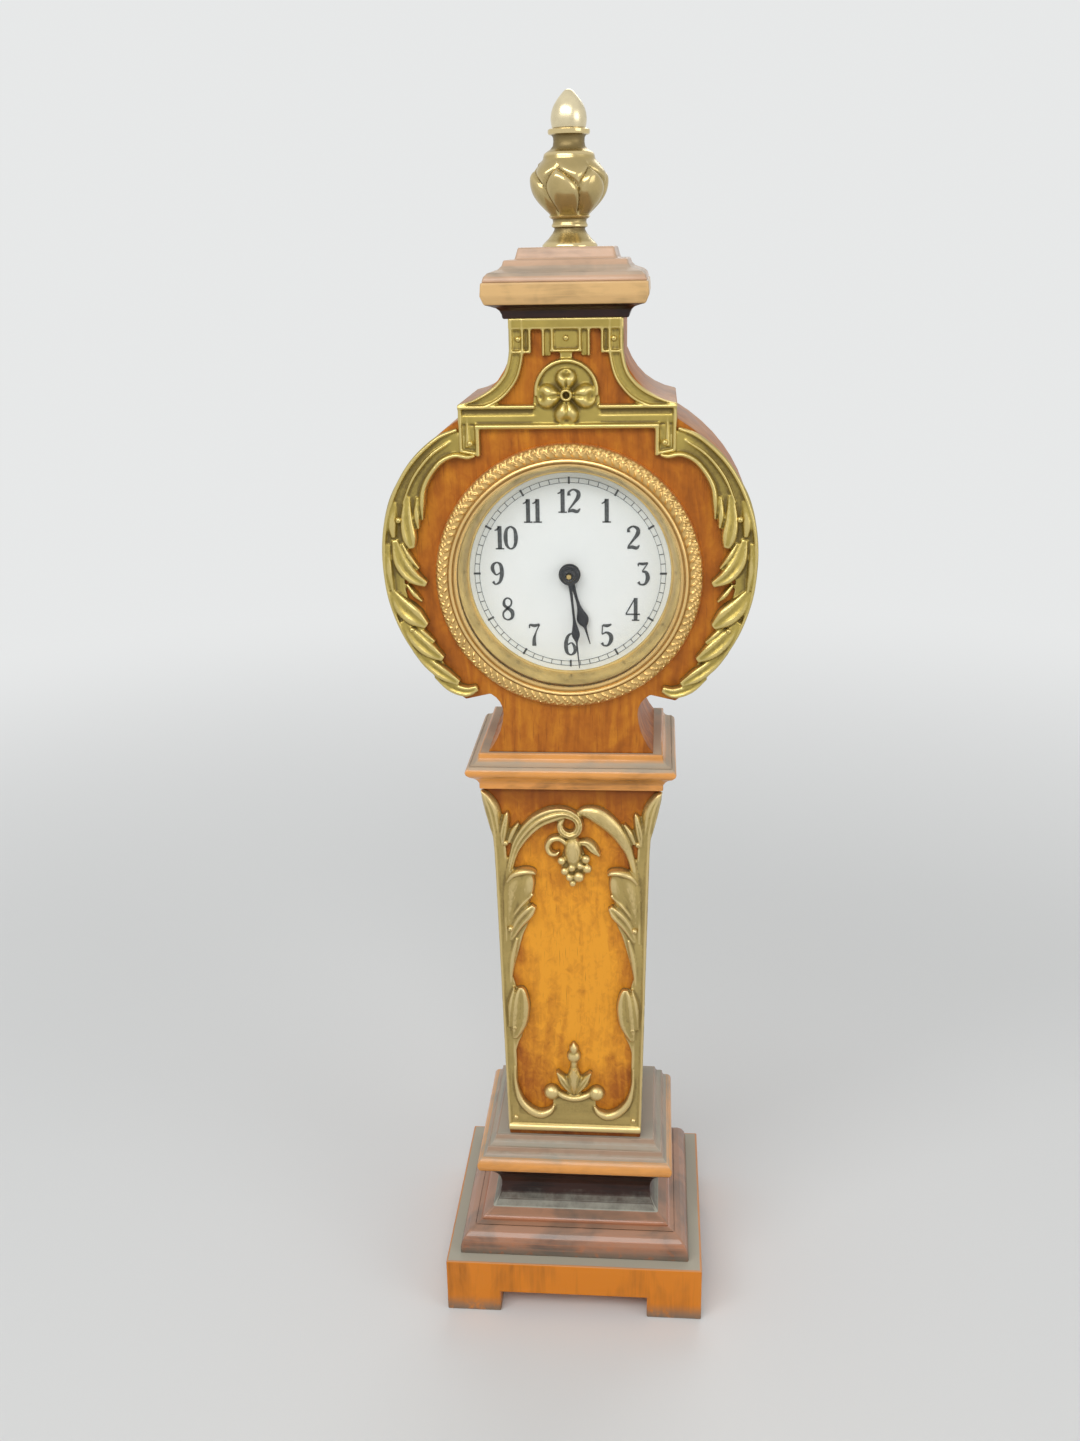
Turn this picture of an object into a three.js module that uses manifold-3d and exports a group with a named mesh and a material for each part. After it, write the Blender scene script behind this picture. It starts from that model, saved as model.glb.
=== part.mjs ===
// Miniature longcase clock: a moulded wooden case with pierced brass mounts and a brass finial,
// and a small drum movement that is wound and set from the back.
// Millimetres, +Z up, the dial faces -Y, the origin is under the middle of the plinth.

import * as THREE from 'three';
import { mergeVertices } from 'three/addons/utils/BufferGeometryUtils.js';
import Module from 'manifold-3d';

const wasm = await Module();
wasm.setup();

// Plinth with bracket feet
const plinthWidth = 80;
const plinthDepth = 72;
const plinthHeight = 18.2;
const footWidth = 17;
const footHeight = 7.2;

// Base mouldings, from the plinth up to the trunk
const ovoloSetback = 4.1;
const ovoloRun = 6.2;
const ovoloHeight = 8.3;
const ovoloSwell = 2.2;
const filletRun = 0.6;
const filletHeight = 1;
const scotiaLipRun = 2.8;
const scotiaLipHeight = 1.5;
const scotiaHollow = 4.3;
const scotiaHeight = 18.2;
const beadHeight = 4.5;
const beadSwell = 1;
const stepRun = 2.45;
const stepHeight = 2.9;
const stepHollow = 0.35;

// Trunk, which widens upwards and flares out under its capital
const trunkHeight = 117.1;
const trunkDepth = 40;
const trunkFootHalf = 20.5;
const trunkWidening = 2.4;
const flareHeight = 10.4;
const flareOut = 2.9;
const flarePower = 1.6;

// Capital between trunk and head
const capitalMargin = 0.6;
const capitalDepthMargin = 1.7;
const capitalFilletHeight = 1.8;
const capitalOverhang = 2.7;
const capitalUnderHeight = 2.7;
const capitalBeadHeight = 3.1;
const capitalBeadSwell = 0.95;
const capitalStepRun = 2.7;
const capitalStepHeight = 2;
const capitalTopHeight = 1.4;

// Head block, cut to a waisted and rounded outline
const headDepth = 41;
const headFootHalf = 23.6;
const neckHalf = 19;
const neckRise = 11.5;
const neckHollow = 1;
const throatHalf = 22.5;
const throatRise = 17.4;
const cuspHalf = 29.5;
const headRadius = 51.2;
const headUpperRise = 44.5;
const headLowerDrop = 50.3;
const headCentreRise = 56.9;
const shoulderHalf = 28.9;
const shoulderRise = 97.6;
const collarHalf = 14.9;
const collarRise = 109.4;
const sweepHollow = 2.6;
const headHeight = 119.2;

// Cornice and cap on the collar of the head, given as overhang all round
const coveFoot = 1.4;
const coveOverhang = 4.1;
const coveHeight = 3.2;
const coveHollow = 0.8;
const fasciaOverhang = 6.6;
const fasciaChamfer = 0.9;
const fasciaUnderHeight = 2.6;
const fasciaHeight = 3.3;
const capSetback = 0.5;
const ogeeRun = 5.2;
const ogeeHeight = 5.3;
const ogeeWave = 0.7;
const slabSetback = 2.6;
const slabTaper = 0.9;
const slabHeight = 3;

// Finial: a lobed urn on a foot, with an acorn on its mouth and a stud through it into the cap
const finialFootRadius = 7.4;
const finialFootEdge = 0.6;
const finialStemRadius = 4.2;
const finialStemHeight = 8.6;
const finialWaistRise = 4;
const finialRingOut = 0.7;
const finialRingRise = 5.2;
const finialRingHeight = 2;
const urnFootOut = 1.8;
const urnRadius = 10.2;
const urnHeight = 12.8;
const urnBellyRise = 7.7;
const urnSwell = 1;
const urnLobes = 6;
const urnLobeDepth = 0.7;
const urnTwistDegrees = 55;
const mouthRadius = 6.7;
const mouthHeight = 1.8;
const upperStemRadius = 4.1;
const upperStemHeight = 4.6;
const acornSeatRadius = 5.5;
const acornSeatHeight = 1.5;
const acornRadius = 4.7;
const acornFootRadius = 4.4;
const acornBellyRise = 2.7;
const acornSwell = 0.9;
const acornHeight = 9.5;
const studRadius = 1.8;
const studGrip = 7;

// Brass mounts
const mountPlate = 0.9;
const mountRelief = 2.7;
const mountRim = 0.6;
const trunkMountFootGap = 2;
const trunkMountStrip = 4.2;
const archRise = 16;
const archStem = 5.6;
const archDrop = 25.8;
const earWidth = 5.9;
const earDrop = 14;
const bandHeight = 6.6;
const sweepStripWidth = 4.2;
const keyBandHeight = 3;
const keyBlockWidth = 5.4;
const keyBlockHeight = 9.2;
const keyCentreHalf = 3.6;
const keyCentreDrop = 4.8;
const rosettePlateHalf = 8.7;
const rosettePlateSpring = 4.4;
const rosettePlateRise = 7.4;
const rosetteStemHalf = 1.8;
const rosetteHeartRise = 2.4;
const rosetteRadius = 6.6;
const rosettePetals = 4;
const petalWidth = 6.6;
const scrollTopDegrees = 37;
const scrollFootDegrees = 143;
const scrollBandWidth = 9.4;
const scrollBandTaper = 5.8;
const scrollMargin = 0.6;
const mountGap = 0.3;

// Bezel, glass, dial and hands, in and round the mouth of the movement drum
const dialCentreRise = 50.9;
const bezelSeatWall = 1.3;
const bezelBand = 3.9;
const bezelEdge = 0.8;
const bezelSwell = 1.1;
const bezelStep = 0.9;
const bezelHeight = 3.7;
const bezelLip = 1.5;
const glassThickness = 1;
const glassSeat = 1;
const dialSetback = 5.2;
const dialThickness = 0.8;
const sightRun = 3.4;
const sightWall = 0.7;
const hourHandGap = 7.4;
const minuteHandGap = 1.4;
const handStemHalf = 0.5;
const handTipHalf = 0.18;
const handThickness = 0.5;
const colletRadius = 2.4;
const colletHeight = 1.1;
const hourHandDegrees = 164.3;
const minuteHandDegrees = 174.3;

// Movement drum and plates
const drumRadius = 32.5;
const drumWall = 1.2;
const shoulderWall = 2.7;
const plateThickness = 1.5;
const plateSpacing = 14;
const motionSpace = 5.2;
const pillarRadius = 2;
const pillarInset = 4.8;
const pillarDegrees = [5, 70, 165, 290];
const coverOverlap = 3.5;
const coverThickness = 1;
const coverRim = 1.6;

// Going train: tooth counts and modules give every centre distance
const barrelTeeth = 48;
const barrelModule = 0.5;
const centrePinionLeaves = 8;
const centreTeeth = 48;
const centreModule = 0.45;
const thirdPinionLeaves = 6;
const thirdTeeth = 45;
const thirdModule = 0.4;
const fourthPinionLeaves = 6;
const fourthTeeth = 48;
const fourthModule = 0.36;
const escapePinionLeaves = 6;
const escapeTeeth = 15;
const escapeRadius = 5.5;
const palletDistance = 7;
const balanceDistance = 9.4;
const balanceRadius = 8;
const balanceRim = 1.1;
const wheelThickness = 0.8;
const pinionLength = 2.2;
const barrelLength = 7;
const barrelDegrees = 225;
const thirdDegrees = -20;
const fourthDegrees = 75;
const escapeDegrees = 140;
const palletDegrees = 120;
const balanceDegrees = 190;

// Motion work behind the dial
const cannonLeaves = 10;
const minuteTeeth = 30;
const cannonModule = 0.6;
const minuteLeaves = 8;
const hourTeeth = 32;
const minuteDegrees = 300;

// Arbors, winding work and setting knob
const arborRadius = 0.8;
const pivotRadius = 0.5;
const centreArborRadius = 0.9;
const barrelArborRadius = 1.6;
const hubRadius = 3;
const windingSquare = 2.4;
const ratchetTeeth = 14;
const ratchetRadius = 5.2;
const ratchetThickness = 1.4;
const clickDistance = 8.8;
const clickDegrees = 110;
const keyWidth = 16;
const keyThickness = 2.4;
const keyPipeRadius = 2.8;
const knobRadius = 5;
const knobLength = 5;
const knobFlutes = 12;

// Clearances, the sides of large rounds and the size below which facets are merged
const runningGap = 0.08;
const endShake = 0.25;
const boreGap = 0.4;
const roundSides = 30;
const sliver = 0.005;

// Levels up the case
const ovoloFoot = plinthHeight;
const scotiaFoot = ovoloFoot + ovoloHeight;
const beadFoot = scotiaFoot + scotiaHeight;
const trunkFoot = beadFoot + beadHeight + 2 * stepHeight;
const trunkTop = trunkFoot + trunkHeight;
const capitalHeight = capitalFilletHeight + capitalUnderHeight + capitalBeadHeight
  + capitalStepHeight + capitalTopHeight;
const headFoot = trunkTop + capitalHeight;
const headCentre = headFoot + headCentreRise;
const dialCentre = headFoot + dialCentreRise;
const corniceFoot = headFoot + headHeight;
const capFoot = corniceFoot + coveHeight + fasciaUnderHeight + fasciaHeight;
const finialFoot = capFoot + ogeeHeight + slabHeight;

// Planes from front to back
const headFront = -headDepth / 2;
const headBack = headDepth / 2;
const trunkFront = -trunkDepth / 2;
const glassFront = headFront - bezelHeight + bezelLip;
const glassBack = glassFront + glassThickness;
const dialFront = headFront + dialSetback;
const dialBack = dialFront + dialThickness;
const frontPlateFront = dialBack + motionSpace;
const frontPlateBack = frontPlateFront + plateThickness;
const backPlateFront = frontPlateBack + plateSpacing;
const backPlateBack = backPlateFront + plateThickness;
const coverBack = headBack + coverThickness;

// Radii stepped in and out from the drum
const glassRadius = drumRadius - drumWall;
const bezelInner = glassRadius + bezelSeatWall;
const bezelRadius = bezelInner + bezelBand;
const dialSightRadius = glassRadius - sightRun;
const hourHandLength = dialSightRadius - hourHandGap;
const minuteHandLength = dialSightRadius - minuteHandGap;
const pillarCircle = glassRadius - pillarInset;
const coverRadius = drumRadius + coverOverlap;

const degrees = (angle) => THREE.MathUtils.degToRad(angle);

// Finishes
const finish = (color, roughness, metalness) => ({ color, roughness, metalness });
const walnut = finish(0x8a4a1c, 0.45, 0);
const mahogany = finish(0x5a2a18, 0.5, 0);
const antiqueBrass = finish(0xa08a48, 0.42, 1);
const lacqueredBrass = finish(0xb49a3c, 0.35, 1);
const rosyBrass = finish(0xc08a48, 0.35, 1);
const polishedBrass = finish(0xc8b478, 0.2, 1);
const nickel = finish(0xb8b4a8, 0.2, 1);
const blackSteel = finish(0x141416, 0.4, 0.8);
const brightSteel = finish(0x9a9ca0, 0.3, 1);
const enamel = finish(0xf0f2ec, 0.25, 0);
const clearGlass = finish(0xdde6e6, 0.05, 0);

// A closed body from any three.js geometry, with its faces turned outwards
function solid(geometry) {
  geometry.deleteAttribute('normal');
  geometry.deleteAttribute('uv');
  const merged = mergeVertices(geometry, 1e-5);
  const places = merged.getAttribute('position');
  const faces = [];
  let volume = 0;
  const corner = [new THREE.Vector3(), new THREE.Vector3(), new THREE.Vector3()];
  for (let i = 0; i < merged.index.count; i += 3) {
    const face = [0, 1, 2].map((k) => merged.index.getX(i + k));
    if (new Set(face).size < 3) continue;
    face.forEach((vertex, k) => corner[k].fromBufferAttribute(places, vertex));
    volume += corner[0].dot(corner[1].clone().cross(corner[2]));
    faces.push(face);
  }
  const turned = volume < 0 ? faces.map(([a, b, c]) => [a, c, b]) : faces;
  return new wasm.Manifold(new wasm.Mesh({
    numProp: 3,
    vertProperties: Float32Array.from(places.array),
    triVerts: Uint32Array.from(turned.flat()),
  }));
}

// A named mesh of a body, without the slivers that joins and cuts leave
function piece(name, body, look) {
  const { vertProperties, triVerts } = body.asOriginal().simplify(sliver).getMesh();
  const geometry = new THREE.BufferGeometry();
  geometry.setAttribute('position', new THREE.BufferAttribute(vertProperties, 3));
  geometry.setIndex(new THREE.BufferAttribute(triVerts, 1));
  geometry.computeVertexNormals();
  const mesh = new THREE.Mesh(geometry, new THREE.MeshStandardMaterial(look));
  mesh.name = name;
  return mesh;
}

const joined = (bodies) => bodies.reduce((whole, body) => whole.add(body));

// Points of a bowed line between two points; a positive bow swells to the right of its direction
function bowed(from, to, bow, steps) {
  const [run, rise] = [to[0] - from[0], to[1] - from[1]];
  const length = Math.hypot(run, rise);
  return Array.from({ length: steps + 1 }, (_, i) => {
    const t = i / steps;
    const lift = 4 * bow * t * (1 - t);
    return [from[0] + run * t + (lift * rise) / length, from[1] + rise * t - (lift * run) / length];
  });
}

function circle(radius, sides, x = 0, z = 0, turn = 0) {
  return Array.from({ length: sides }, (_, i) => {
    const angle = turn + (2 * Math.PI * i) / sides;
    return [x + radius * Math.cos(angle), z + radius * Math.sin(angle)];
  });
}

// Corner radius of a many-sided hole that clears a round of this radius
const holeRadius = (radius, sides, gap) => (radius + gap) / Math.cos(Math.PI / sides);

const vectors = (points) => points.map(([x, z]) => new THREE.Vector2(x, z));
const mirrored = (half) => [...half, ...half.slice().reverse().map(([x, z]) => [-x, z])];

// A flat piece with holes, standing in the front plane and growing forwards from its back
function plate(outline, back, thickness, holes = []) {
  const shape = new THREE.Shape(vectors(outline));
  shape.holes = holes.map((hole) => new THREE.Path(vectors(hole)));
  const geometry = new THREE.ExtrudeGeometry(shape, { depth: thickness, bevelEnabled: false });
  return solid(geometry.rotateX(Math.PI / 2).translate(0, back, 0));
}

function box(x0, x1, y0, y1, z0, z1) {
  const geometry = new THREE.BoxGeometry(x1 - x0, y1 - y0, z1 - z0);
  return solid(geometry.translate((x0 + x1) / 2, (y0 + y1) / 2, (z0 + z1) / 2));
}

// Round pieces: profiles of [radius, height] about an upright axis, or [radius, y] front to back
function turnedUpright(profile, sides) {
  return solid(new THREE.LatheGeometry(vectors(profile), sides).rotateX(Math.PI / 2));
}

function turnedAcross(profile, sides, x = 0, z = 0) {
  return solid(new THREE.LatheGeometry(vectors(profile), sides).translate(x, 0, z));
}

// A body skinned over rings that have as many corners each, closed at both ends
function skinned(rings) {
  const sides = rings[0].length;
  const faces = [];
  for (let ring = 0; ring + 1 < rings.length; ring += 1) {
    for (let i = 0; i < sides; i += 1) {
      const next = (i + 1) % sides;
      const [a, b] = [ring * sides + i, ring * sides + next];
      faces.push(a, b, b + sides, a, b + sides, a + sides);
    }
  }
  const last = (rings.length - 1) * sides;
  for (let i = 1; i + 1 < sides; i += 1) {
    faces.push(0, i + 1, i, last, last + i, last + i + 1);
  }
  const geometry = new THREE.BufferGeometry();
  geometry.setAttribute('position', new THREE.Float32BufferAttribute(rings.flat(2), 3));
  geometry.setIndex(faces);
  return solid(geometry);
}

// A mitred moulding: a profile of [half width, height] run round a rectangle
function moulding(profile, foot, depthMargin) {
  return skinned(profile.map(([half, rise]) => {
    const deep = half + depthMargin;
    const z = foot + rise;
    return [[-half, -deep, z], [half, -deep, z], [half, deep, z], [-half, deep, z]];
  }));
}

// A raised rib with a flat back, carried along a line in the front plane
function rib(path, back, width, height, steps) {
  const curve = new THREE.SplineCurve(vectors(path));
  const section = [[-1, 0], [0, 1], [1, 0]];
  return skinned(Array.from({ length: steps + 1 }, (_, i) => {
    const t = i / steps;
    const place = curve.getPoint(t);
    const along = curve.getTangent(t);
    return section.map(([across, up]) => [
      place.x - (along.y * across * width(t)) / 2,
      back - up * height(t),
      place.y + (along.x * across * width(t)) / 2,
    ]);
  }));
}

// A leaf is a rib that is narrow at its stalk, full past the middle and pointed at its tip
function leaf(path, back, width, height, steps = 3) {
  const fullness = (t) => Math.sin(Math.PI * t ** 0.8) ** 0.8;
  return rib(
    path,
    back,
    (t) => width * (0.12 + 0.88 * fullness(t)),
    (t) => height * (0.45 + 0.55 * fullness(t)),
    steps,
  );
}

// A low round boss on a flat back
function boss(x, z, back, radius, height) {
  const shoulder = [radius * 0.75, back - height * 0.65];
  return turnedAcross([[0, back], [radius, back], shoulder, [0, back - height]], 6, x, z);
}

// Plinth: a block with arched-out aprons between four bracket feet

function plinth() {
  const [half, deep] = [plinthWidth / 2, plinthDepth / 2];
  const block = box(-half, half, -deep, deep, 0, plinthHeight);
  const [spanX, spanY] = [half - footWidth, deep - footWidth];
  const frontToBack = box(-spanX, spanX, -plinthDepth, plinthDepth, -footHeight, footHeight);
  const sideToSide = box(-plinthWidth, plinthWidth, -spanY, spanY, -footHeight, footHeight);
  return block.subtract(frontToBack).subtract(sideToSide);
}

// Base mouldings

const baseDepthMargin = (plinthDepth - plinthWidth) / 2;
const ovoloHalf = plinthWidth / 2 - ovoloSetback;
const scotiaFootHalf = ovoloHalf - ovoloRun;
const scotiaLipHalf = scotiaFootHalf - filletRun - scotiaLipRun;
const beadHalf = scotiaFootHalf;

function baseOvolo() {
  const profile = bowed([ovoloHalf, 0], [scotiaFootHalf, ovoloHeight], ovoloSwell, 6);
  return moulding(profile, ovoloFoot, baseDepthMargin);
}

function baseScotia() {
  const lipRise = filletHeight + scotiaLipHeight;
  const profile = [
    [scotiaFootHalf, 0],
    [scotiaFootHalf - filletRun, filletHeight],
    ...bowed([scotiaLipHalf, lipRise], [beadHalf, scotiaHeight], -scotiaHollow, 9),
  ];
  return moulding(profile, scotiaFoot, baseDepthMargin);
}

function baseBead() {
  const firstStep = beadHalf - stepRun;
  const profile = [
    ...bowed([beadHalf, 0], [beadHalf - beadSwell / 2, beadHeight], beadSwell, 5),
    ...bowed([beadHalf - beadSwell, beadHeight], [firstStep, beadHeight + stepHeight], -stepHollow, 3),
    ...bowed(
      [firstStep - stepRun / 4, beadHeight + stepHeight],
      [firstStep - stepRun, beadHeight + 2 * stepHeight],
      -stepHollow,
      3,
    ),
  ];
  return moulding(profile, beadFoot, baseDepthMargin);
}

// Trunk, cut to its outline and square through its depth

function trunkHalf(rise) {
  const flareStart = trunkHeight - flareHeight;
  const flare = Math.max(0, (rise - flareStart) / flareHeight);
  return trunkFootHalf + trunkWidening * Math.min(1, rise / flareStart) + flareOut * flare ** flarePower;
}

const trunkTopHalf = trunkHalf(trunkHeight);

function trunkEdge(fromRise, toRise) {
  const flareStart = trunkHeight - flareHeight;
  const flareSteps = 6;
  const rises = Array.from(
    { length: flareSteps + 1 },
    (_, i) => flareStart + (flareHeight * i) / flareSteps,
  );
  const between = rises.filter((rise) => rise > fromRise && rise < toRise);
  return [fromRise, ...between, toRise].map((rise) => [trunkHalf(rise), trunkFoot + rise]);
}

function trunk() {
  return plate(mirrored(trunkEdge(0, trunkHeight)), trunkDepth / 2, trunkDepth);
}

function trunkCapital() {
  const filletHalf = trunkTopHalf + capitalMargin;
  const beadOut = filletHalf + capitalOverhang;
  const underRise = capitalFilletHeight + capitalUnderHeight;
  const beadRise = underRise + capitalBeadHeight;
  const stepHalf = beadOut - capitalStepRun;
  const profile = [
    [filletHalf, 0],
    [filletHalf, capitalFilletHeight],
    ...bowed([filletHalf, capitalFilletHeight], [beadOut, underRise], -stepHollow, 3).slice(1),
    ...bowed([beadOut, underRise], [beadOut, beadRise], capitalBeadSwell, 4).slice(1),
    ...bowed([beadOut, beadRise], [stepHalf, beadRise + capitalStepHeight], -stepHollow, 3).slice(1),
    [stepHalf, beadRise + capitalStepHeight + capitalTopHeight],
  ];
  const depthMargin = trunkDepth / 2 + capitalDepthMargin - filletHalf;
  return moulding(profile, trunkTop, depthMargin);
}

// Head: waisted neck, rounded body, square shoulders and a swept collar

function onHead(inset, angle) {
  const turn = degrees(angle);
  const tall = Math.cos(turn) > 0 ? headUpperRise : headLowerDrop;
  return [Math.sin(turn) * (headRadius - inset), headCentre + Math.cos(turn) * (tall - inset)];
}

function sweepEdge(inset) {
  const foot = [shoulderHalf - inset, headFoot + shoulderRise];
  return bowed(foot, [collarHalf - inset, headFoot + collarRise], -sweepHollow, 6);
}

function headOutline() {
  const cuspAngle = 180 - THREE.MathUtils.radToDeg(Math.asin(cuspHalf / headRadius));
  const shoulderAngle = THREE.MathUtils.radToDeg(Math.asin(shoulderHalf / headRadius));
  const roundSteps = 20;
  const round = Array.from({ length: roundSteps + 1 }, (_, i) => (
    onHead(0, cuspAngle + ((shoulderAngle - cuspAngle) * i) / roundSteps)
  ));
  return mirrored([
    ...bowed([headFootHalf, headFoot], [neckHalf, headFoot + neckRise], -neckHollow, 5),
    ...bowed([neckHalf, headFoot + neckRise], [throatHalf, headFoot + throatRise], -neckHollow, 4).slice(1),
    ...round,
    ...sweepEdge(0),
    [collarHalf, corniceFoot],
  ]);
}

function headCase() {
  const boreRadius = holeRadius(drumRadius, roundSides, boreGap);
  const bore = circle(boreRadius, roundSides, 0, dialCentre);
  return plate(headOutline(), headBack, headDepth, [bore]);
}

// Cornice and cap, which run round the collar

const collarDepthMargin = headDepth / 2 - collarHalf;

function cornice() {
  const lipRise = coveHeight + fasciaUnderHeight;
  const profile = [
    ...bowed([collarHalf + coveFoot, 0], [collarHalf + coveOverhang, coveHeight], -coveHollow, 4),
    [collarHalf + fasciaOverhang - fasciaChamfer, coveHeight + fasciaChamfer / 2],
    [collarHalf + fasciaOverhang, lipRise],
    [collarHalf + fasciaOverhang - fasciaChamfer / 4, lipRise + fasciaHeight],
  ];
  return moulding(profile, corniceFoot, collarDepthMargin);
}

function capTop() {
  const foot = collarHalf + fasciaOverhang - capSetback;
  const crown = foot - ogeeRun;
  const middle = [(foot + crown) / 2, ogeeHeight / 2];
  const slab = crown - slabSetback;
  const profile = [
    ...bowed([foot, 0], middle, ogeeWave, 3),
    ...bowed(middle, [crown, ogeeHeight], -ogeeWave, 3).slice(1),
    [slab, ogeeHeight],
    [slab - slabTaper, ogeeHeight + slabHeight],
  ];
  const sides = 10;
  const hole = turnedUpright([
    [0, capFoot - studGrip],
    [holeRadius(studRadius, sides, runningGap), capFoot - studGrip],
    [holeRadius(studRadius, sides, runningGap), finialFoot + studGrip],
    [0, finialFoot + studGrip],
  ], sides);
  return moulding(profile, capFoot, collarDepthMargin).subtract(hole);
}

// Finial

const stemTop = finialFoot + finialStemHeight;
const urnTop = stemTop + urnHeight;
const mouthTop = urnTop + mouthHeight;
const upperStemTop = mouthTop + upperStemHeight;
const acornFoot = upperStemTop + acornSeatHeight;
const studFoot = finialFoot - ogeeHeight;
const studTop = finialFoot + studGrip;

// Spiral lobes swell and fade with the height on the urn
function lobed(geometry) {
  const places = geometry.getAttribute('position');
  for (let i = 0; i < places.count; i += 1) {
    const [x, height, z] = [places.getX(i), places.getY(i), places.getZ(i)];
    const radius = Math.hypot(x, z);
    const t = (height - stemTop) / urnHeight;
    if (radius > 0 && t > 0 && t < 1) {
      const turn = Math.atan2(z, x) + degrees(urnTwistDegrees) * t;
      const swell = 1 + (urnLobeDepth * Math.sin(Math.PI * t) * Math.cos(urnLobes * turn)) / radius;
      places.setXYZ(i, x * swell, height, z * swell);
    }
  }
  return geometry;
}

function finialUrn() {
  const waist = finialStemRadius;
  const ringFoot = finialFoot + finialRingRise;
  const footEdge = [finialFootRadius - finialFootEdge / 2, finialFoot + finialFootEdge];
  const belly = [urnRadius, stemTop + urnBellyRise];
  const profile = [
    [0, finialFoot],
    [finialFootRadius, finialFoot],
    ...bowed(footEdge, [waist, finialFoot + finialWaistRise], -finialFootEdge, 2),
    [waist + finialRingOut, ringFoot],
    [waist + finialRingOut, ringFoot + finialRingHeight],
    [waist + urnFootOut, stemTop],
    ...bowed([waist + urnFootOut, stemTop], belly, urnSwell, 3).slice(1),
    ...bowed(belly, [mouthRadius, urnTop], urnSwell, 3).slice(1),
    [mouthRadius, mouthTop],
    [upperStemRadius, (mouthTop + upperStemTop) / 2],
    [upperStemRadius, upperStemTop],
    [acornSeatRadius, upperStemTop],
    [acornSeatRadius, acornFoot],
    [0, acornFoot],
  ];
  const boreSides = 10;
  const boreRadius = holeRadius(studRadius, boreSides, runningGap);
  const boreTop = studTop + boreGap;
  const bore = turnedUpright([
    [0, finialFoot - studGrip],
    [boreRadius, finialFoot - studGrip],
    [boreRadius, boreTop],
    [0, boreTop],
  ], boreSides);
  const turned = new THREE.LatheGeometry(vectors(profile), 3 * urnLobes);
  return solid(lobed(turned).rotateX(Math.PI / 2)).subtract(bore);
}

function finialAcorn() {
  const belly = [acornRadius, acornFoot + acornBellyRise];
  return turnedUpright([
    [0, acornFoot],
    [acornFootRadius, acornFoot],
    ...bowed(belly, [0, acornFoot + acornHeight], acornSwell, 5),
  ], 14);
}

function finialStud() {
  return turnedUpright([[0, studFoot], [studRadius, studFoot], [studRadius, studTop], [0, studTop]], 10);
}

// Trunk mount: edge strips, a vine arch with a hanging bunch, two pairs of leaves and foot scrolls

const fromTop = (inset, drop) => [trunkHalf(trunkHeight - drop) - inset, trunkTop - drop];
const fromFoot = (inset, rise) => [trunkHalf(rise) - inset, trunkFoot + rise];
const archFoot = trunkTop - archDrop;
const archHalf = trunkHalf(trunkHeight - archDrop) - trunkMountStrip;

// A quarter of the arch, from its crown down to its right foot
function archLine(grow, from, to, steps) {
  return Array.from({ length: steps + 1 }, (_, i) => {
    const turn = degrees(from + ((to - from) * i) / steps);
    const half = archHalf + grow * 0.4;
    return [half * Math.sin(turn), archFoot + (archRise + grow) * Math.cos(turn)];
  });
}

function trunkMountOutline() {
  const right = [
    fromFoot(0, trunkMountFootGap),
    ...trunkEdge(trunkMountFootGap, trunkHeight - 0.8).slice(1),
    fromTop(4.3, 2.9),
    fromTop(4.2, 6.6),
    fromTop(5.2, 7.9),
    fromTop(6.9, 11.6),
    ...archLine(archStem, 49, 0, 5),
  ];
  return mirrored(right);
}

function trunkMountOpening() {
  const leafEdge = [
    fromTop(8.4, 27.7), fromTop(11.7, 26.6), fromTop(11.6, 33), fromTop(11, 40), fromTop(10.4, 45),
    fromTop(8.2, 50), fromTop(5.9, 55), fromTop(4.4, 59),
  ];
  const lowerLeafEdge = [
    fromFoot(3.9, 54.8), fromFoot(6.6, 52.2), fromFoot(8.6, 45.2), fromFoot(7.8, 40.2),
    fromFoot(4.6, 28), fromFoot(4, 20), fromFoot(6.2, 14.8), fromFoot(9.3, 11.9),
  ];
  const scroll = [[8.8, 11.2], [6.8, 12.2], [7.4, 14], [9.2, 17], [8.4, 19.6], [6.3, 20.2], [3.4, 18]];
  const cup = [[1.6, 19], [4.6, 24.8], [2.2, 25.4], [1.1, 26.9], [2.3, 29.3], [1.1, 31.9], [0, 33.8]];
  const right = [
    ...archLine(0, 0, 90, 6),
    ...leafEdge,
    ...lowerLeafEdge,
    ...[...scroll, ...cup].map(([x, rise]) => [x, trunkFoot + rise]),
  ];
  return mirrored(right);
}

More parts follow.
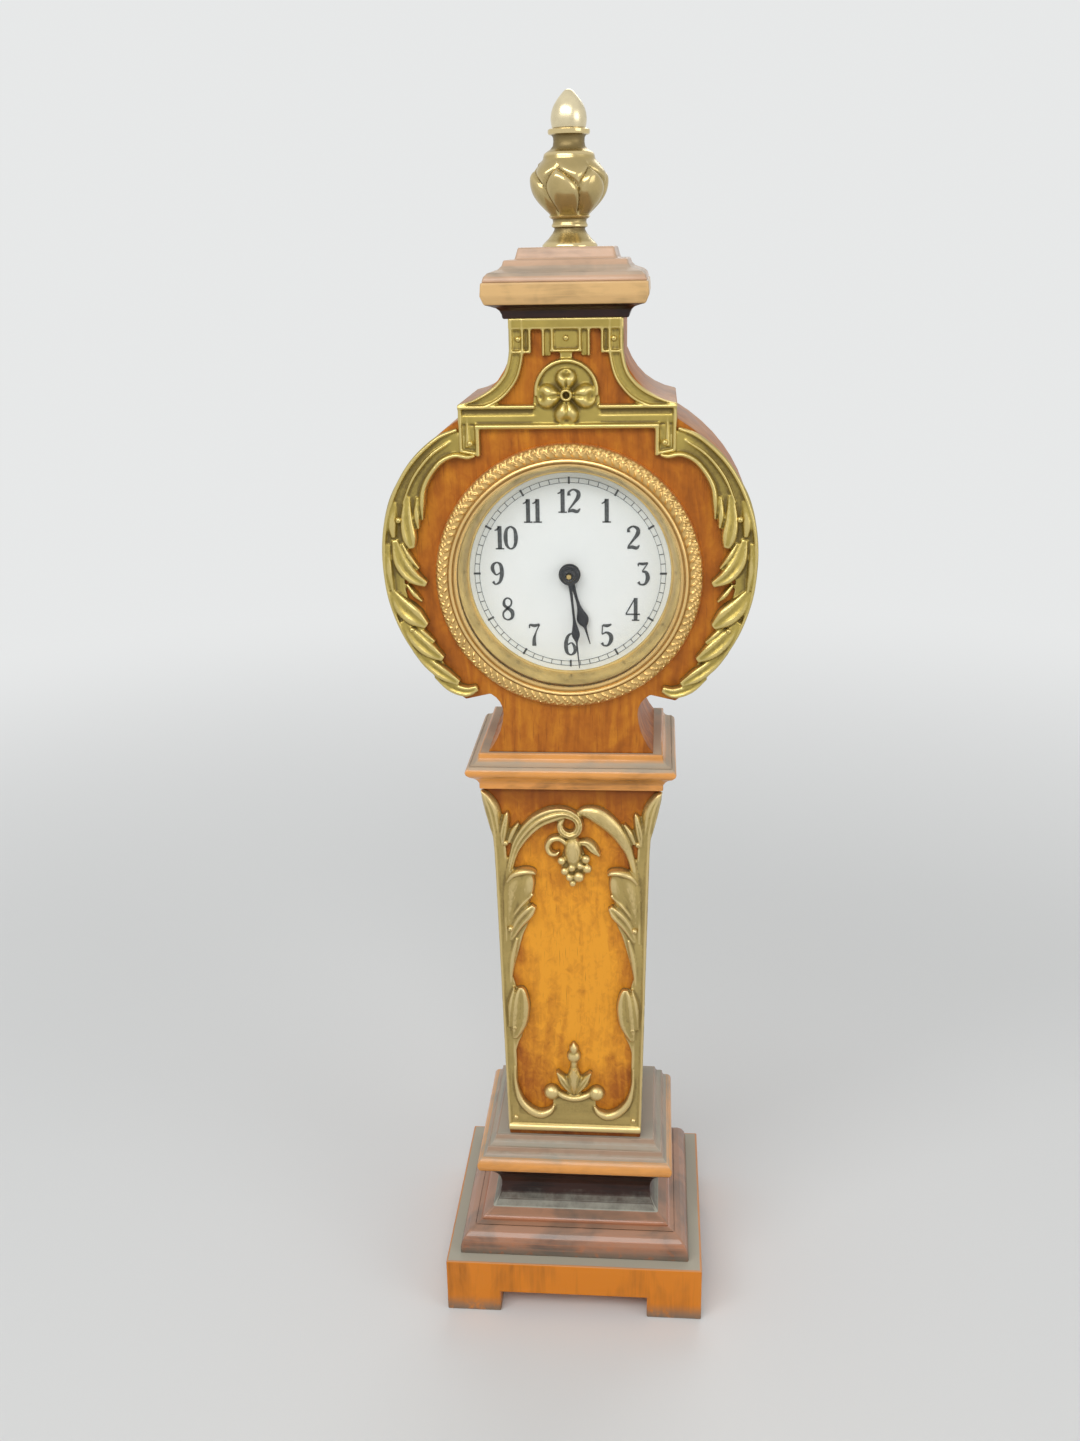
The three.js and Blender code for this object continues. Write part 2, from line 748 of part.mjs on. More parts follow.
function trunkMount() {
  const back = trunkFront;
  const even = (size) => () => size;
  const parts = [plate(trunkMountOutline(), back, mountPlate, [trunkMountOpening()])];
  const flip = (path) => path.map(([x, z]) => [-x, z]);
  const eachSide = (path, make) => [make(path), make(flip(path))];
  const edge = [
    fromFoot(1.1, trunkMountFootGap + 1),
    fromTop(1.1, 60),
    fromTop(1.1, 14),
    fromTop(1.6, 3),
  ];
  const stem = archLine(archStem / 2, 8, 82, 5);
  const upperLeaf = [fromTop(2.6, 46.5), fromTop(5.4, 38), fromTop(9.6, 29)];
  const upperLobe = [fromTop(3.4, 50), fromTop(7, 44), fromTop(10, 39.5)];
  const lowerLeaf = [fromFoot(2.6, 34.5), fromFoot(4.6, 43), fromFoot(5.8, 50.5)];
  const cornerLeaf = [fromTop(2.6, 17), fromTop(2.8, 9), fromTop(2, 2.4)];
  const bud = [fromTop(4.4, 17), fromTop(5.2, 13), fromTop(5.2, 9)];
  const footRoll = [
    fromFoot(4.6, 15.5),
    fromFoot(8.2, 10.2),
    [9.6, trunkFoot + 9.3],
    [6.4, trunkFoot + 10.2],
  ];
  parts.push(
    ...eachSide(edge, (path) => rib(path, back, even(2), even(mountPlate + mountRim), 3)),
    ...eachSide(stem, (path) => rib(path, back, (t) => archStem * (1 - 0.55 * t), even(mountRelief), 5)),
    ...eachSide(upperLeaf, (path) => leaf(path, back, 5.6, mountRelief)),
    ...eachSide(upperLobe, (path) => leaf(path, back, 3.6, mountRelief * 0.9)),
    ...eachSide(lowerLeaf, (path) => leaf(path, back, 5.2, mountRelief)),
    ...eachSide(cornerLeaf, (path) => leaf(path, back, 3.6, mountRelief * 0.8)),
    ...eachSide(bud, (path) => leaf(path, back, 2.6, mountRelief * 0.9, 2)),
    ...eachSide(footRoll, (path) => rib(path, back, even(1.6), even(mountRelief * 0.8), 4)),
    ...eachSide([[7, trunkFoot + 17.2]], ([[x, z]]) => boss(x, z, back, 2.6, mountRelief)),
  );
  parts.push(...hangingBunch(back), ...footCup(back), footRim(back));
  return joined(parts);
}

// A loop at the crown of the arch with a leafy bunch of grapes below it
function hangingBunch(back) {
  const crown = archFoot + archRise;
  const loopRadius = 2.5;
  const loop = plate(
    circle(loopRadius + 1, 10, 0, crown - 1.2),
    back,
    mountRelief * 0.8,
    [circle(loopRadius - 1, 6, 0, crown - 1.2)],
  );
  const wing = [[1, crown - 5.6], [4.6, crown - 7.6], [7.4, crown - 10.6]];
  const grapes = [
    [-3.4, 12], [0, 11], [3.4, 12], [-1.8, 15], [1.8, 15], [0, 17.6],
  ];
  return [
    loop,
    leaf([[0, crown - 3], [0, crown - 7], [0, crown - 13]], back, 6.4, mountRelief),
    leaf(wing, back, 3.4, mountRelief * 0.9),
    leaf(wing.map(([x, z]) => [-x, z]), back, 3.4, mountRelief * 0.9),
    ...grapes.map(([x, drop]) => boss(x, crown - drop, back, 2.1, mountRelief * 0.9)),
  ];
}

function footCup(back) {
  const stalk = [[0, trunkFoot + 15], [0, trunkFoot + 20], [0, trunkFoot + 26]];
  const spike = [[0, trunkFoot + 28], [0, trunkFoot + 30.5], [0, trunkFoot + 33.6]];
  return [
    leaf(stalk, back, 3.4, mountRelief),
    boss(0, trunkFoot + 29.2, back, 2.2, mountRelief),
    leaf(spike, back, 1.6, mountRelief * 0.8, 4),
  ];
}

function footRim(back) {
  const half = trunkHalf(trunkMountFootGap);
  const foot = trunkFoot + trunkMountFootGap;
  const rimHeight = 2.2;
  return box(-half, half, back - mountPlate - mountRim, back, foot, foot + rimHeight);
}

// Pediment mount: a pierced plate of architrave, dropped ears, swept sides, key-pattern top and an
// arch, with raised lines and a rosette of cupped petals on it

const bandTop = headFoot + shoulderRise;
const bandFoot = bandTop - bandHeight;
const earFoot = bandTop - earDrop;
const earInner = shoulderHalf - earWidth;
const keyBandFoot = corniceFoot - keyBandHeight;
const keyBlockFoot = corniceFoot - keyBlockHeight;
const keyInner = collarHalf - keyBlockWidth;
const keyCentreFoot = keyBandFoot - keyCentreDrop;
const rosetteSpring = bandTop + rosettePlateSpring;

// The round top of the arched plate, between two angles from the right
function rosetteArch(from, to, steps, inset = 0) {
  return Array.from({ length: steps + 1 }, (_, i) => {
    const turn = degrees(from + ((to - from) * i) / steps);
    return [
      (rosettePlateHalf - inset) * Math.cos(turn),
      rosetteSpring + (rosettePlateRise - inset) * Math.sin(turn),
    ];
  });
}

function pedimentOutline() {
  return mirrored([
    [earInner, bandFoot],
    [earInner, earFoot],
    [shoulderHalf, earFoot],
    ...sweepEdge(0),
    [collarHalf, corniceFoot],
  ]);
}

// The opening between the arch and the swept side
function pedimentOpening(side) {
  const stemAngle = THREE.MathUtils.radToDeg(Math.acos(rosetteStemHalf / rosettePlateHalf));
  const right = [
    [rosettePlateHalf, bandTop],
    ...sweepEdge(sweepStripWidth),
    [keyInner, keyBlockFoot],
    [keyInner, keyBandFoot],
    [keyCentreHalf, keyBandFoot],
    [keyCentreHalf, keyCentreFoot],
    [rosetteStemHalf, keyCentreFoot],
    ...rosetteArch(stemAngle, 0, 4),
  ];
  return right.map(([x, z]) => [side * x, z]);
}

function rosette(back) {
  const heart = bandTop + rosetteHeartRise;
  const petals = Array.from({ length: rosettePetals }, (_, i) => {
    const turn = (2 * Math.PI * i) / rosettePetals;
    const reach = (distance) => [distance * Math.sin(turn), heart + distance * Math.cos(turn)];
    const line = [reach(rosetteRadius * 0.1), reach(rosetteRadius * 0.6), reach(rosetteRadius)];
    return leaf(line, back, petalWidth, mountRelief + mountRim);
  });
  return [...petals, boss(0, heart, back, rosetteRadius / 4, mountRelief + 2 * mountRim)];
}

function pedimentMount() {
  const back = headFront;
  const raised = back - mountPlate - mountRim;
  const even = (size) => () => size;
  const line = 1.5;
  const opening = (side) => plate(pedimentOpening(side), back + mountPlate, 3 * mountPlate);
  const parts = [
    plate(pedimentOutline(), back, mountPlate).subtract(opening(1)).subtract(opening(-1)),
    box(-shoulderHalf, shoulderHalf, raised, back, bandTop - line, bandTop),
    box(-earInner, earInner, raised, back, bandFoot, bandFoot + line),
    box(-keyCentreHalf, keyCentreHalf, raised, back, keyCentreFoot, keyBandFoot + line / 2),
    rib(rosetteArch(0, 180, 8, line / 2), back, even(line), even(mountPlate + mountRim), 8),
    ...rosette(back),
  ];
  for (const side of [-1, 1]) {
    const between = (a, b, foot, top) => (
      box(Math.min(side * a, side * b), Math.max(side * a, side * b), raised, back, foot, top)
    );
    const sweep = sweepEdge(sweepStripWidth / 2).map(([x, z]) => [side * x, z]);
    parts.push(
      between(earInner, earInner + line, earFoot, bandFoot + line),
      between(keyInner + line / 2, collarHalf - line / 2, keyBlockFoot + line, keyBandFoot + line / 2),
      rib(sweep, back, even(sweepStripWidth * 0.7), even(mountPlate + 2 * mountRim), 5),
    );
  }
  return joined(parts);
}

// Scroll mounts: an acanthus C-scroll down each side of the head

// The flat band along the rim that the leaves lie on, narrower towards its foot
function scrollBand(side, back) {
  const steps = 8;
  const edge = (inset) => Array.from({ length: steps + 1 }, (_, i) => {
    const t = i / steps;
    const angle = scrollTopDegrees + (scrollFootDegrees - scrollTopDegrees) * t;
    const [x, z] = onHead(inset(t), angle);
    return [side * x, z];
  });
  const outer = edge(() => scrollMargin);
  const inner = edge((t) => scrollBandWidth - scrollBandTaper * t);
  return plate([...outer, ...inner.reverse()], back, mountPlate);
}

function scrollMount(side) {
  const back = headFront;
  const path = (...places) => places.map(([inset, angle]) => {
    const [x, z] = onHead(inset, angle);
    return [side * x, z];
  });
  const spine = path(
    [3, scrollTopDegrees], [3, 52], [2.6, 68], [2.4, 84], [2.3, 100], [2.4, 116], [2.6, 130],
    [3.6, scrollFootDegrees],
  );
  const spineWidth = (t) => 5.6 - 1.6 * t - 1.4 * Math.max(0, t - 0.85) / 0.15;
  const innerStrand = path([7.2, 41], [6.4, 48], [6.2, 56], [8, 64], [9.3, 72]);
  const leaves = [
    path([2.8, 64], [6.4, 75], [8.4, 84.5]),
    path([2.2, 77], [5.4, 88], [6.8, 96.5]),
    path([2.4, 90], [5.6, 102], [6.8, 111]),
    path([2.2, 103], [4.8, 112], [5.8, 119.5]),
    path([2, 115], [3.8, 124], [4.4, 131.5]),
  ];
  const lobeWidths = [4.8, 4.6, 4.6, 4, 3.6];
  const body = joined([
    scrollBand(side, back),
    rib(spine, back, spineWidth, (t) => mountRelief * (1 - 0.3 * t), 12),
    rib(innerStrand, back, (t) => 5.2 - 2.8 * t, (t) => mountRelief * (0.85 - 0.2 * t), 5),
    ...leaves.map((line, i) => leaf(line, back, lobeWidths[i], mountRelief)),
  ]);
  const earReach = shoulderHalf + mountGap;
  const clearFoot = earFoot - mountGap;
  const ear = box(-earReach, earReach, back - headDepth, back + headDepth, clearFoot, corniceFoot);
  return body.subtract(ear);
}

// Bezel, sight ring, glass and dial

function bezel() {
  const crown = headFront - bezelHeight;
  const lipOuter = bezelInner - bezelStep / 3;
  const lipInner = glassRadius - glassSeat;
  const seat = glassRadius + 2 * runningGap;
  const profile = [
    [bezelRadius, headFront],
    ...bowed([bezelRadius, headFront - bezelEdge], [bezelInner, crown + bezelStep], bezelSwell, 3),
    [lipOuter, crown + bezelStep / 4],
    [(lipOuter + lipInner) / 2, crown],
    [lipInner, crown + bezelStep / 2],
    [lipInner, glassFront - runningGap],
    [seat, glassFront - runningGap],
    [seat, headFront],
    [bezelRadius, headFront],
  ];
  return turnedAcross(profile, roundSides, 0, dialCentre);
}

function glass() {
  const rim = glassFront + 0.3;
  return turnedAcross([
    [0, glassFront],
    [glassRadius - 2 * (rim - glassFront), glassFront],
    [glassRadius, rim],
    [glassRadius, glassBack],
    [0, glassBack],
  ], roundSides, 0, dialCentre);
}

function sightRing() {
  const top = glassBack + endShake;
  const outer = glassRadius - 2 * runningGap - 0.4;
  return turnedAcross([
    [outer, top],
    [outer - sightWall, top],
    [dialSightRadius, dialFront - runningGap],
    [dialSightRadius + 2 * sightWall, dialFront - runningGap],
    [outer, top],
  ], roundSides, 0, dialCentre);
}

function dial() {
  const radius = glassRadius - 0.4;
  const holeSides = 12;
  const hole = holeRadius(hourPipeRadius, holeSides, 3 * runningGap);
  const centreHole = circle(hole, holeSides, 0, dialCentre);
  return plate(circle(radius, roundSides, 0, dialCentre), dialBack, dialThickness, [centreHole]);
}

// Hands: a spade blade on a ring that grips its pipe

const arborSides = 6;
const cannonPipeRadius = 1.5;
const hourPipeRadius = 2.2;
const hourHandBack = dialFront - 1.1;
const minuteHandBack = hourHandBack - handThickness - 1;

function hand(length, spadeAt, spadeWidth, gripRadius, angle, back) {
  const ring = gripRadius + 1.1;
  const half = [
    [handStemHalf, gripRadius + 0.7],
    [handStemHalf, spadeAt - 3.4],
    [spadeWidth / 2, spadeAt - 0.4],
    [spadeWidth * 0.3, spadeAt + 1.6],
    [handStemHalf / 2, spadeAt + 3],
    [handTipHalf, length],
  ];
  const turn = degrees(angle);
  const placed = mirrored(half).map(([x, z]) => [
    x * Math.cos(turn) + z * Math.sin(turn),
    dialCentre - x * Math.sin(turn) + z * Math.cos(turn),
  ]);
  const bore = circle(holeRadius(gripRadius, 12, runningGap), 12, 0, dialCentre);
  const grip = plate(circle(ring, 12, 0, dialCentre), back, handThickness, [bore]);
  return grip.add(plate(placed, back, handThickness));
}

function hourHand() {
  const spadeAt = hourHandLength * 0.64;
  return hand(hourHandLength, spadeAt, 3, hourPipeRadius, hourHandDegrees, hourHandBack);
}

function minuteHand() {
  const spadeAt = minuteHandLength * 0.63;
  return hand(minuteHandLength, spadeAt, 2, cannonPipeRadius, minuteHandDegrees, minuteHandBack);
}

function handCollet() {
  const back = minuteHandBack - handThickness - runningGap;
  const bore = holeRadius(centreArborRadius, arborSides, runningGap);
  return turnedAcross([
    [bore, back],
    [colletRadius, back],
    [colletRadius * 0.8, back - colletHeight * 0.8],
    [bore, back - colletHeight],
    [bore, back],
  ], 2 * arborSides, 0, dialCentre);
}

// Movement drum and back cover

function movementDrum() {
  const inner = drumRadius - drumWall;
  const ledge = drumRadius - shoulderWall;
  return turnedAcross([
    [drumRadius, headFront],
    [inner, headFront],
    [inner, dialBack],
    [ledge, dialBack],
    [ledge, frontPlateFront],
    [inner, frontPlateFront],
    [inner, headBack],
    [drumRadius, headBack],
    [drumRadius, headFront],
  ], roundSides, 0, dialCentre);
}

function backCover() {
  const lip = coverRadius - coverRim;
  const dish = turnedAcross([
    [0, headBack],
    [coverRadius, headBack],
    [coverRadius, coverBack + 0.3],
    [lip, coverBack + coverRim * 0.6],
    [lip - coverRim, coverBack],
    [0, coverBack],
  ], 28, 0, dialCentre);
  const through = 2 * coverThickness + coverRim;
  const keyHole = circle(keyPipeRadius + 0.9, 10, barrelPlace[0], barrelPlace[1]);
  const setHole = circle(centreArborRadius + 0.7, 8, 0, dialCentre);
  return dish
    .subtract(plate(keyHole, headBack + through, 2 * through))
    .subtract(plate(setHole, headBack + through, 2 * through));
}

// Places of the arbors, stepped out from the centre by the meshing radii

const pitch = (teeth, module) => (teeth * module) / 2;
const stepped = ([x, z], distance, angle) => [
  x + distance * Math.cos(degrees(angle)),
  z + distance * Math.sin(degrees(angle)),
];
const centrePlace = [0, dialCentre];
const barrelReach = pitch(barrelTeeth + centrePinionLeaves, barrelModule);
const centreReach = pitch(centreTeeth + thirdPinionLeaves, centreModule);
const thirdReach = pitch(thirdTeeth + fourthPinionLeaves, thirdModule);
const fourthReach = pitch(fourthTeeth + escapePinionLeaves, fourthModule);
const minuteReach = pitch(cannonLeaves + minuteTeeth, cannonModule);
const barrelPlace = stepped(centrePlace, barrelReach, barrelDegrees);
const thirdPlace = stepped(centrePlace, centreReach, thirdDegrees);
const fourthPlace = stepped(thirdPlace, thirdReach, fourthDegrees);
const escapePlace = stepped(fourthPlace, fourthReach, escapeDegrees);
const palletPlace = stepped(escapePlace, palletDistance, palletDegrees);
const balancePlace = stepped(palletPlace, balanceDistance, balanceDegrees);
const minutePlace = stepped(centrePlace, minuteReach, minuteDegrees);

// Toothed outlines. Wheel teeth are pointed, pinion leaves are blunt and stand apart. A wheel has a
// tooth, and a pinion a gap, on the line that joins their centres.

function toothed(teeth, module, angle, place, form) {
  const step = (2 * Math.PI) / teeth;
  const root = pitch(teeth, module) - form.dedendum * module;
  const tip = pitch(teeth, module) + form.addendum * module;
  const start = degrees(angle) + (form.gapFirst ? step / 2 : 0);
  const corners = form.tip
    ? [[root, -form.foot], [tip, -form.tip], [tip, form.tip], [root, form.foot]]
    : [[root, -form.foot], [tip, 0]];
  return Array.from({ length: teeth }, (_, i) => corners.map(([radius, share]) => {
    const turn = start + step * (i + share / 2);
    return [place[0] + radius * Math.cos(turn), place[1] + radius * Math.sin(turn)];
  })).flat();
}

const wheelForm = { addendum: 0.9, dedendum: 1.5, foot: 1, tip: 0, gapFirst: false };
const pinionForm = { addendum: 0.6, dedendum: 1.2, foot: 0.34, tip: 0.16, gapFirst: true };
const leafRoot = (leaves, module) => pitch(leaves, module) - pinionForm.dedendum * module;

// Openings that leave spokes between the hub and the rim of a wheel
function crossings(count, inner, outer, spoke, place) {
  return Array.from({ length: count }, (_, i) => {
    const middle = (2 * Math.PI * (i + 0.5)) / count;
    const reach = (radius) => Math.PI / count - spoke / 2 / radius;
    const at = (radius, share) => {
      const turn = middle + reach(radius) * share;
      return [place[0] + radius * Math.cos(turn), place[1] + radius * Math.sin(turn)];
    };
    const line = (radius, steps) => (
      Array.from({ length: steps + 1 }, (_, k) => at(radius, (2 * k) / steps - 1))
    );
    return [...line(outer, Math.ceil(14 / count)), ...line(inner, Math.ceil(6 / count)).reverse()];
  });
}

// A crossed-out wheel, with its bore on an arbor
function trainWheel(teeth, module, angle, place, boreFor, front) {
  const rim = pitch(teeth, module) - 2.8 * module - 0.4;
  const bore = circle(holeRadius(boreFor, arborSides, runningGap), arborSides, place[0], place[1]);
  const spokes = crossings(3, boreFor + 1.5, rim, 1.5, place);
  const outline = toothed(teeth, module, angle, place, wheelForm);
  return plate(outline, front + wheelThickness, wheelThickness, [bore, ...spokes]);
}

// An arbor between the plates with a pivot at each end
function pivotedArbor(place, radius, pivot) {
  return turnedAcross([
    [0, frontPlateFront],
    [pivot, frontPlateFront],
    [pivot, frontPlateBack + endShake],
    [radius, frontPlateBack + endShake],
    [radius, backPlateFront - endShake],
    [pivot, backPlateFront - endShake],
    [pivot, backPlateBack],
    [0, backPlateBack],
  ], arborSides, place[0], place[1]);
}

function leafPinion(leaves, module, angle, place, front, length) {
  return plate(toothed(leaves, module, angle, place, pinionForm), front + length, length);
}

// The arbor is no thicker than the root of its leaves
const arborFor = (leaves, module) => Math.min(arborRadius, leafRoot(leaves, module));

function pinionArbor(place, leaves, module, angle, front) {
  const radius = arborFor(leaves, module);
  const arbor = pivotedArbor(place, radius, Math.min(pivotRadius, radius * 0.8));
  return arbor.add(leafPinion(leaves, module, angle + 180, place, front, pinionLength));
}

// Levels of the wheels between the plates
const centreWheelFront = frontPlateBack + 2.8;
const barrelToothFront = centreWheelFront + 2.8;
const fourthWheelFront = barrelToothFront + 0.2;
const thirdWheelFront = backPlateFront - 3.7;
const escapeWheelFront = backPlateFront - 2.4;
const balanceFront = centreWheelFront + 3;
const meshFront = (wheelFront) => wheelFront - (pinionLength - wheelThickness) / 2;

// Centre arbor: it carries the hands in front and the setting knob behind, and slips in the sleeve
// of the centre wheel when the hands are set
const knobFront = coverBack + coverRim;

function centreArbor() {
  const tip = minuteHandBack - handThickness - 1.4;
  const end = knobFront + knobLength - 1;
  return turnedAcross([[0, tip], [centreArborRadius * 0.8, tip], [centreArborRadius, tip + 0.4],
    [centreArborRadius, end], [0, end]], arborSides, 0, dialCentre);
}

function centrePinion() {
  const sleeve = holeRadius(centreArborRadius, arborSides, runningGap);
  const front = frontPlateBack + endShake;
  const length = barrelToothFront + 2.2 - front;
  const outer = sleeve + 0.32;
  const pipeBack = front + length - 1;
  const pipe = turnedAcross([[0, front], [outer, front], [outer, pipeBack], [0, pipeBack]],
    arborSides, 0, dialCentre);
  const leaves = leafPinion(centrePinionLeaves, barrelModule, barrelDegrees, centrePlace,
    barrelToothFront - 0.6, pinionLength + 0.6);
  const bore = plate(circle(sleeve, arborSides, 0, dialCentre), front + 2 * length, 4 * length);
  return pipe.add(leaves).subtract(bore);
}

function centreWheel() {
  const sleeve = holeRadius(centreArborRadius, arborSides, runningGap) + 0.32;
  return trainWheel(centreTeeth, centreModule, thirdDegrees, centrePlace, sleeve, centreWheelFront);
}

// Barrel: a toothed drum with a lid, turning on the winding arbor, with the mainspring inside

const barrelBack = barrelToothFront + barrelLength;
const barrelOuter = pitch(barrelTeeth, barrelModule) - wheelForm.dedendum * barrelModule - 0.3;
const barrelInner = barrelOuter - 0.8;
const barrelFloor = 1;
const barrelHoleRadius = holeRadius(barrelArborRadius, arborSides, runningGap);

function mainspringBarrel() {
  const back = barrelToothFront + barrelFloor;
  const bore = circle(barrelHoleRadius, arborSides, barrelPlace[0], barrelPlace[1]);
  const teeth = toothed(barrelTeeth, barrelModule, barrelDegrees + 180, barrelPlace, wheelForm);
  const floor = plate(teeth, back, barrelFloor, [bore]);
  const wall = turnedAcross([
    [barrelOuter, back - 0.2], [barrelInner, back - 0.2], [barrelInner, barrelBack],
    [barrelOuter, barrelBack], [barrelOuter, back - 0.2],
  ], 20, barrelPlace[0], barrelPlace[1]);
  return floor.add(wall);
}

function barrelLid() {
  const radius = barrelInner - runningGap;
  const bore = circle(barrelHoleRadius, arborSides, barrelPlace[0], barrelPlace[1]);
  const lid = circle(radius, 20, barrelPlace[0], barrelPlace[1]);
  return plate(lid, barrelBack - 0.2, barrelFloor - 0.2, [bore]);
}

// A flat spiral strip, as a mainspring or a hairspring
function spiral(place, fromRadius, toRadius, turns, thickness, front, width) {
  const steps = Math.round(turns * 9);
  return skinned(Array.from({ length: steps + 1 }, (_, i) => {
    const t = i / steps;
    const turn = 2 * Math.PI * turns * t;
    const middle = fromRadius + (toRadius - fromRadius) * t;
    const at = (radius, y) => [place[0] + radius * Math.cos(turn), y, place[1] + radius * Math.sin(turn)];
    const [near, far] = [middle - thickness / 2, middle + thickness / 2];
    return [at(near, front), at(far, front), at(far, front + width), at(near, front + width)];
  }));
}

function mainspring() {
  const front = barrelToothFront + barrelFloor + endShake;
  const width = barrelLength - 2 * barrelFloor - 2 * endShake;
  return spiral(barrelPlace, hubRadius + 0.5, barrelInner - 0.5, 3, 0.35, front, width);
}

const squareCorner = (windingSquare / 2) * Math.SQRT2;
const windingEnd = coverBack - 0.6;

function barrelArbor() {
  const hubFront = barrelToothFront + barrelFloor + endShake;
  const hubBack = barrelBack - barrelFloor - endShake;
  const round = turnedAcross([
    [0, frontPlateFront],
    [1, frontPlateFront],
    [1, frontPlateBack + endShake],
    [barrelArborRadius, frontPlateBack + endShake],
    [barrelArborRadius, hubFront],
    [hubRadius, hubFront],
    [hubRadius, hubBack],
    [barrelArborRadius, hubBack],
    [barrelArborRadius, backPlateBack + 0.1],
    [0, backPlateBack + 0.1],
  ], arborSides, barrelPlace[0], barrelPlace[1]);
  const square = circle(squareCorner, 4, barrelPlace[0], barrelPlace[1], Math.PI / 4);
  return round.add(plate(square, windingEnd, windingEnd - backPlateBack));
}

const squareHole = (gap) => (
  circle(squareCorner + gap * Math.SQRT2, 4, barrelPlace[0], barrelPlace[1], Math.PI / 4)
);
const ratchetFront = backPlateBack + 2 * runningGap;

function ratchetWheel() {
  const step = (2 * Math.PI) / ratchetTeeth;
  const outline = Array.from({ length: ratchetTeeth }, (_, i) => [
    [ratchetRadius, 0], [ratchetRadius - 1, 0.12], [ratchetRadius - 0.6, 0.6],
  ].map(([radius, share]) => {
    const turn = step * (i + share);
    return [barrelPlace[0] + radius * Math.cos(turn), barrelPlace[1] + radius * Math.sin(turn)];
  })).flat();
  return plate(outline, ratchetFront + ratchetThickness, ratchetThickness, [squareHole(runningGap)]);
}

// Click: a pawl on a shoulder screw, drawn as it rides over the tip of a ratchet tooth
const clickPlace = stepped(barrelPlace, clickDistance, clickDegrees);
const clickScrewRadius = 0.9;

function click() {
  const nose = stepped(barrelPlace, ratchetRadius + 0.2, clickDegrees - 48);
  const heel = stepped(barrelPlace, ratchetRadius + 1.7, clickDegrees - 44);
  const lean = THREE.MathUtils.radToDeg(Math.atan2(nose[1] - clickPlace[1], nose[0] - clickPlace[0]));
  const back = ratchetFront + ratchetThickness;
  const bore = circle(holeRadius(clickScrewRadius, 10, runningGap), 10, clickPlace[0], clickPlace[1]);
  const body = plate(circle(2, 14, clickPlace[0], clickPlace[1]), back, ratchetThickness, [bore]);
  const inner = stepped(clickPlace, 1.7, lean - 40);
  const outer = stepped(clickPlace, 1.7, lean + 40);
  return body.add(plate([inner, nose, heel, outer], back, ratchetThickness));
}

function clickScrew() {
  const head = ratchetFront + ratchetThickness + runningGap;
  const foot = backPlateFront + 0.4;
  const headRim = 2 * clickScrewRadius;
  const headTop = head + 0.7;
  return turnedAcross([
    [0, foot],
    [clickScrewRadius, foot],
    [clickScrewRadius, head],
    [headRim, head],
    [headRim, headTop],
    [0, headTop],
  ], 10, clickPlace[0], clickPlace[1]);
}

// Escapement: club-toothed wheel, pallet lever and balance

function escapeWheel() {
  const step = (2 * Math.PI) / escapeTeeth;
  const place = escapePlace;
  const outline = Array.from({ length: escapeTeeth }, (_, i) => [
    [escapeRadius - 1.5, 0], [escapeRadius, 0.36], [escapeRadius - 0.15, 0.52],
  ].map(([radius, share]) => {
    const turn = degrees(palletDegrees) + step * (i + share);
    return [place[0] + radius * Math.cos(turn), place[1] + radius * Math.sin(turn)];
  })).flat();
  const arbor = arborFor(escapePinionLeaves, fourthModule);
  const bore = circle(holeRadius(arbor, arborSides, runningGap), arborSides, place[0], place[1]);
  return plate(outline, escapeWheelFront + 0.6, 0.6, [bore]);
}

function palletLever() {
  const level = escapeWheelFront + 0.7;
  const thickness = 0.8;
  const clear = escapeRadius + 0.24;
  const bar = (from, to, width) => {
    const length = Math.hypot(to[0] - from[0], to[1] - from[1]);
    const across = [(-(to[1] - from[1]) * width) / 2 / length, ((to[0] - from[0]) * width) / 2 / length];
    return plate([
      [from[0] + across[0], from[1] + across[1]], [to[0] + across[0], to[1] + across[1]],
      [to[0] - across[0], to[1] - across[1]], [from[0] - across[0], from[1] - across[1]],
    ], level, thickness);
  };
  const stone = (side) => bar(
    stepped(escapePlace, clear, palletDegrees + side * 30),
    stepped(escapePlace, clear + 1.6, palletDegrees + side * 30),
    0.8,
  );
  const arm = (side) => bar(palletPlace, stepped(escapePlace, clear + 1.1, palletDegrees + side * 33), 0.9);
  const forkReach = balanceDistance - rollerRadius - 0.4;
  const fork = bar(palletPlace, stepped(palletPlace, forkReach, balanceDegrees), 1);
  return joined([
    pivotedArbor(palletPlace, arborRadius * 0.8, pivotRadius),
    plate(circle(1.2, 8, palletPlace[0], palletPlace[1]), level, thickness),
    arm(-1), arm(1), stone(-1), stone(1), fork,
  ]);
}

const rollerRadius = 1.7;

function balanceStaff() {
  const disc = circle(rollerRadius, 12, balancePlace[0], balancePlace[1]);
  const roller = plate(disc, escapeWheelFront + 0.7, 0.8);
  return pivotedArbor(balancePlace, arborRadius, pivotRadius).add(roller);
}

function balanceWheel() {
  const boreRadius = holeRadius(arborRadius, arborSides, runningGap);
  const bore = circle(boreRadius, arborSides, balancePlace[0], balancePlace[1]);
  const arms = crossings(2, arborRadius + 1, balanceRadius - balanceRim, 1.6, balancePlace);
  const rim = circle(balanceRadius, 24, balancePlace[0], balancePlace[1]);
  return plate(rim, balanceFront + 1, 1, [bore, ...arms]);
}

function hairspring() {
  return spiral(balancePlace, arborRadius + 0.5, 4.6, 3, 0.18, balanceFront + 2.4, 0.8);
}

// Motion work: cannon pinion, minute wheel on its stud, and hour wheel

const cannonFront = frontPlateFront - 1.9;
const minuteWheelFront = frontPlateFront - 1.5;
const hourWheelFront = dialBack + 1.4;
const minuteModule = (2 * minuteReach) / (minuteLeaves + hourTeeth);
const minuteStudRadius = 0.8;

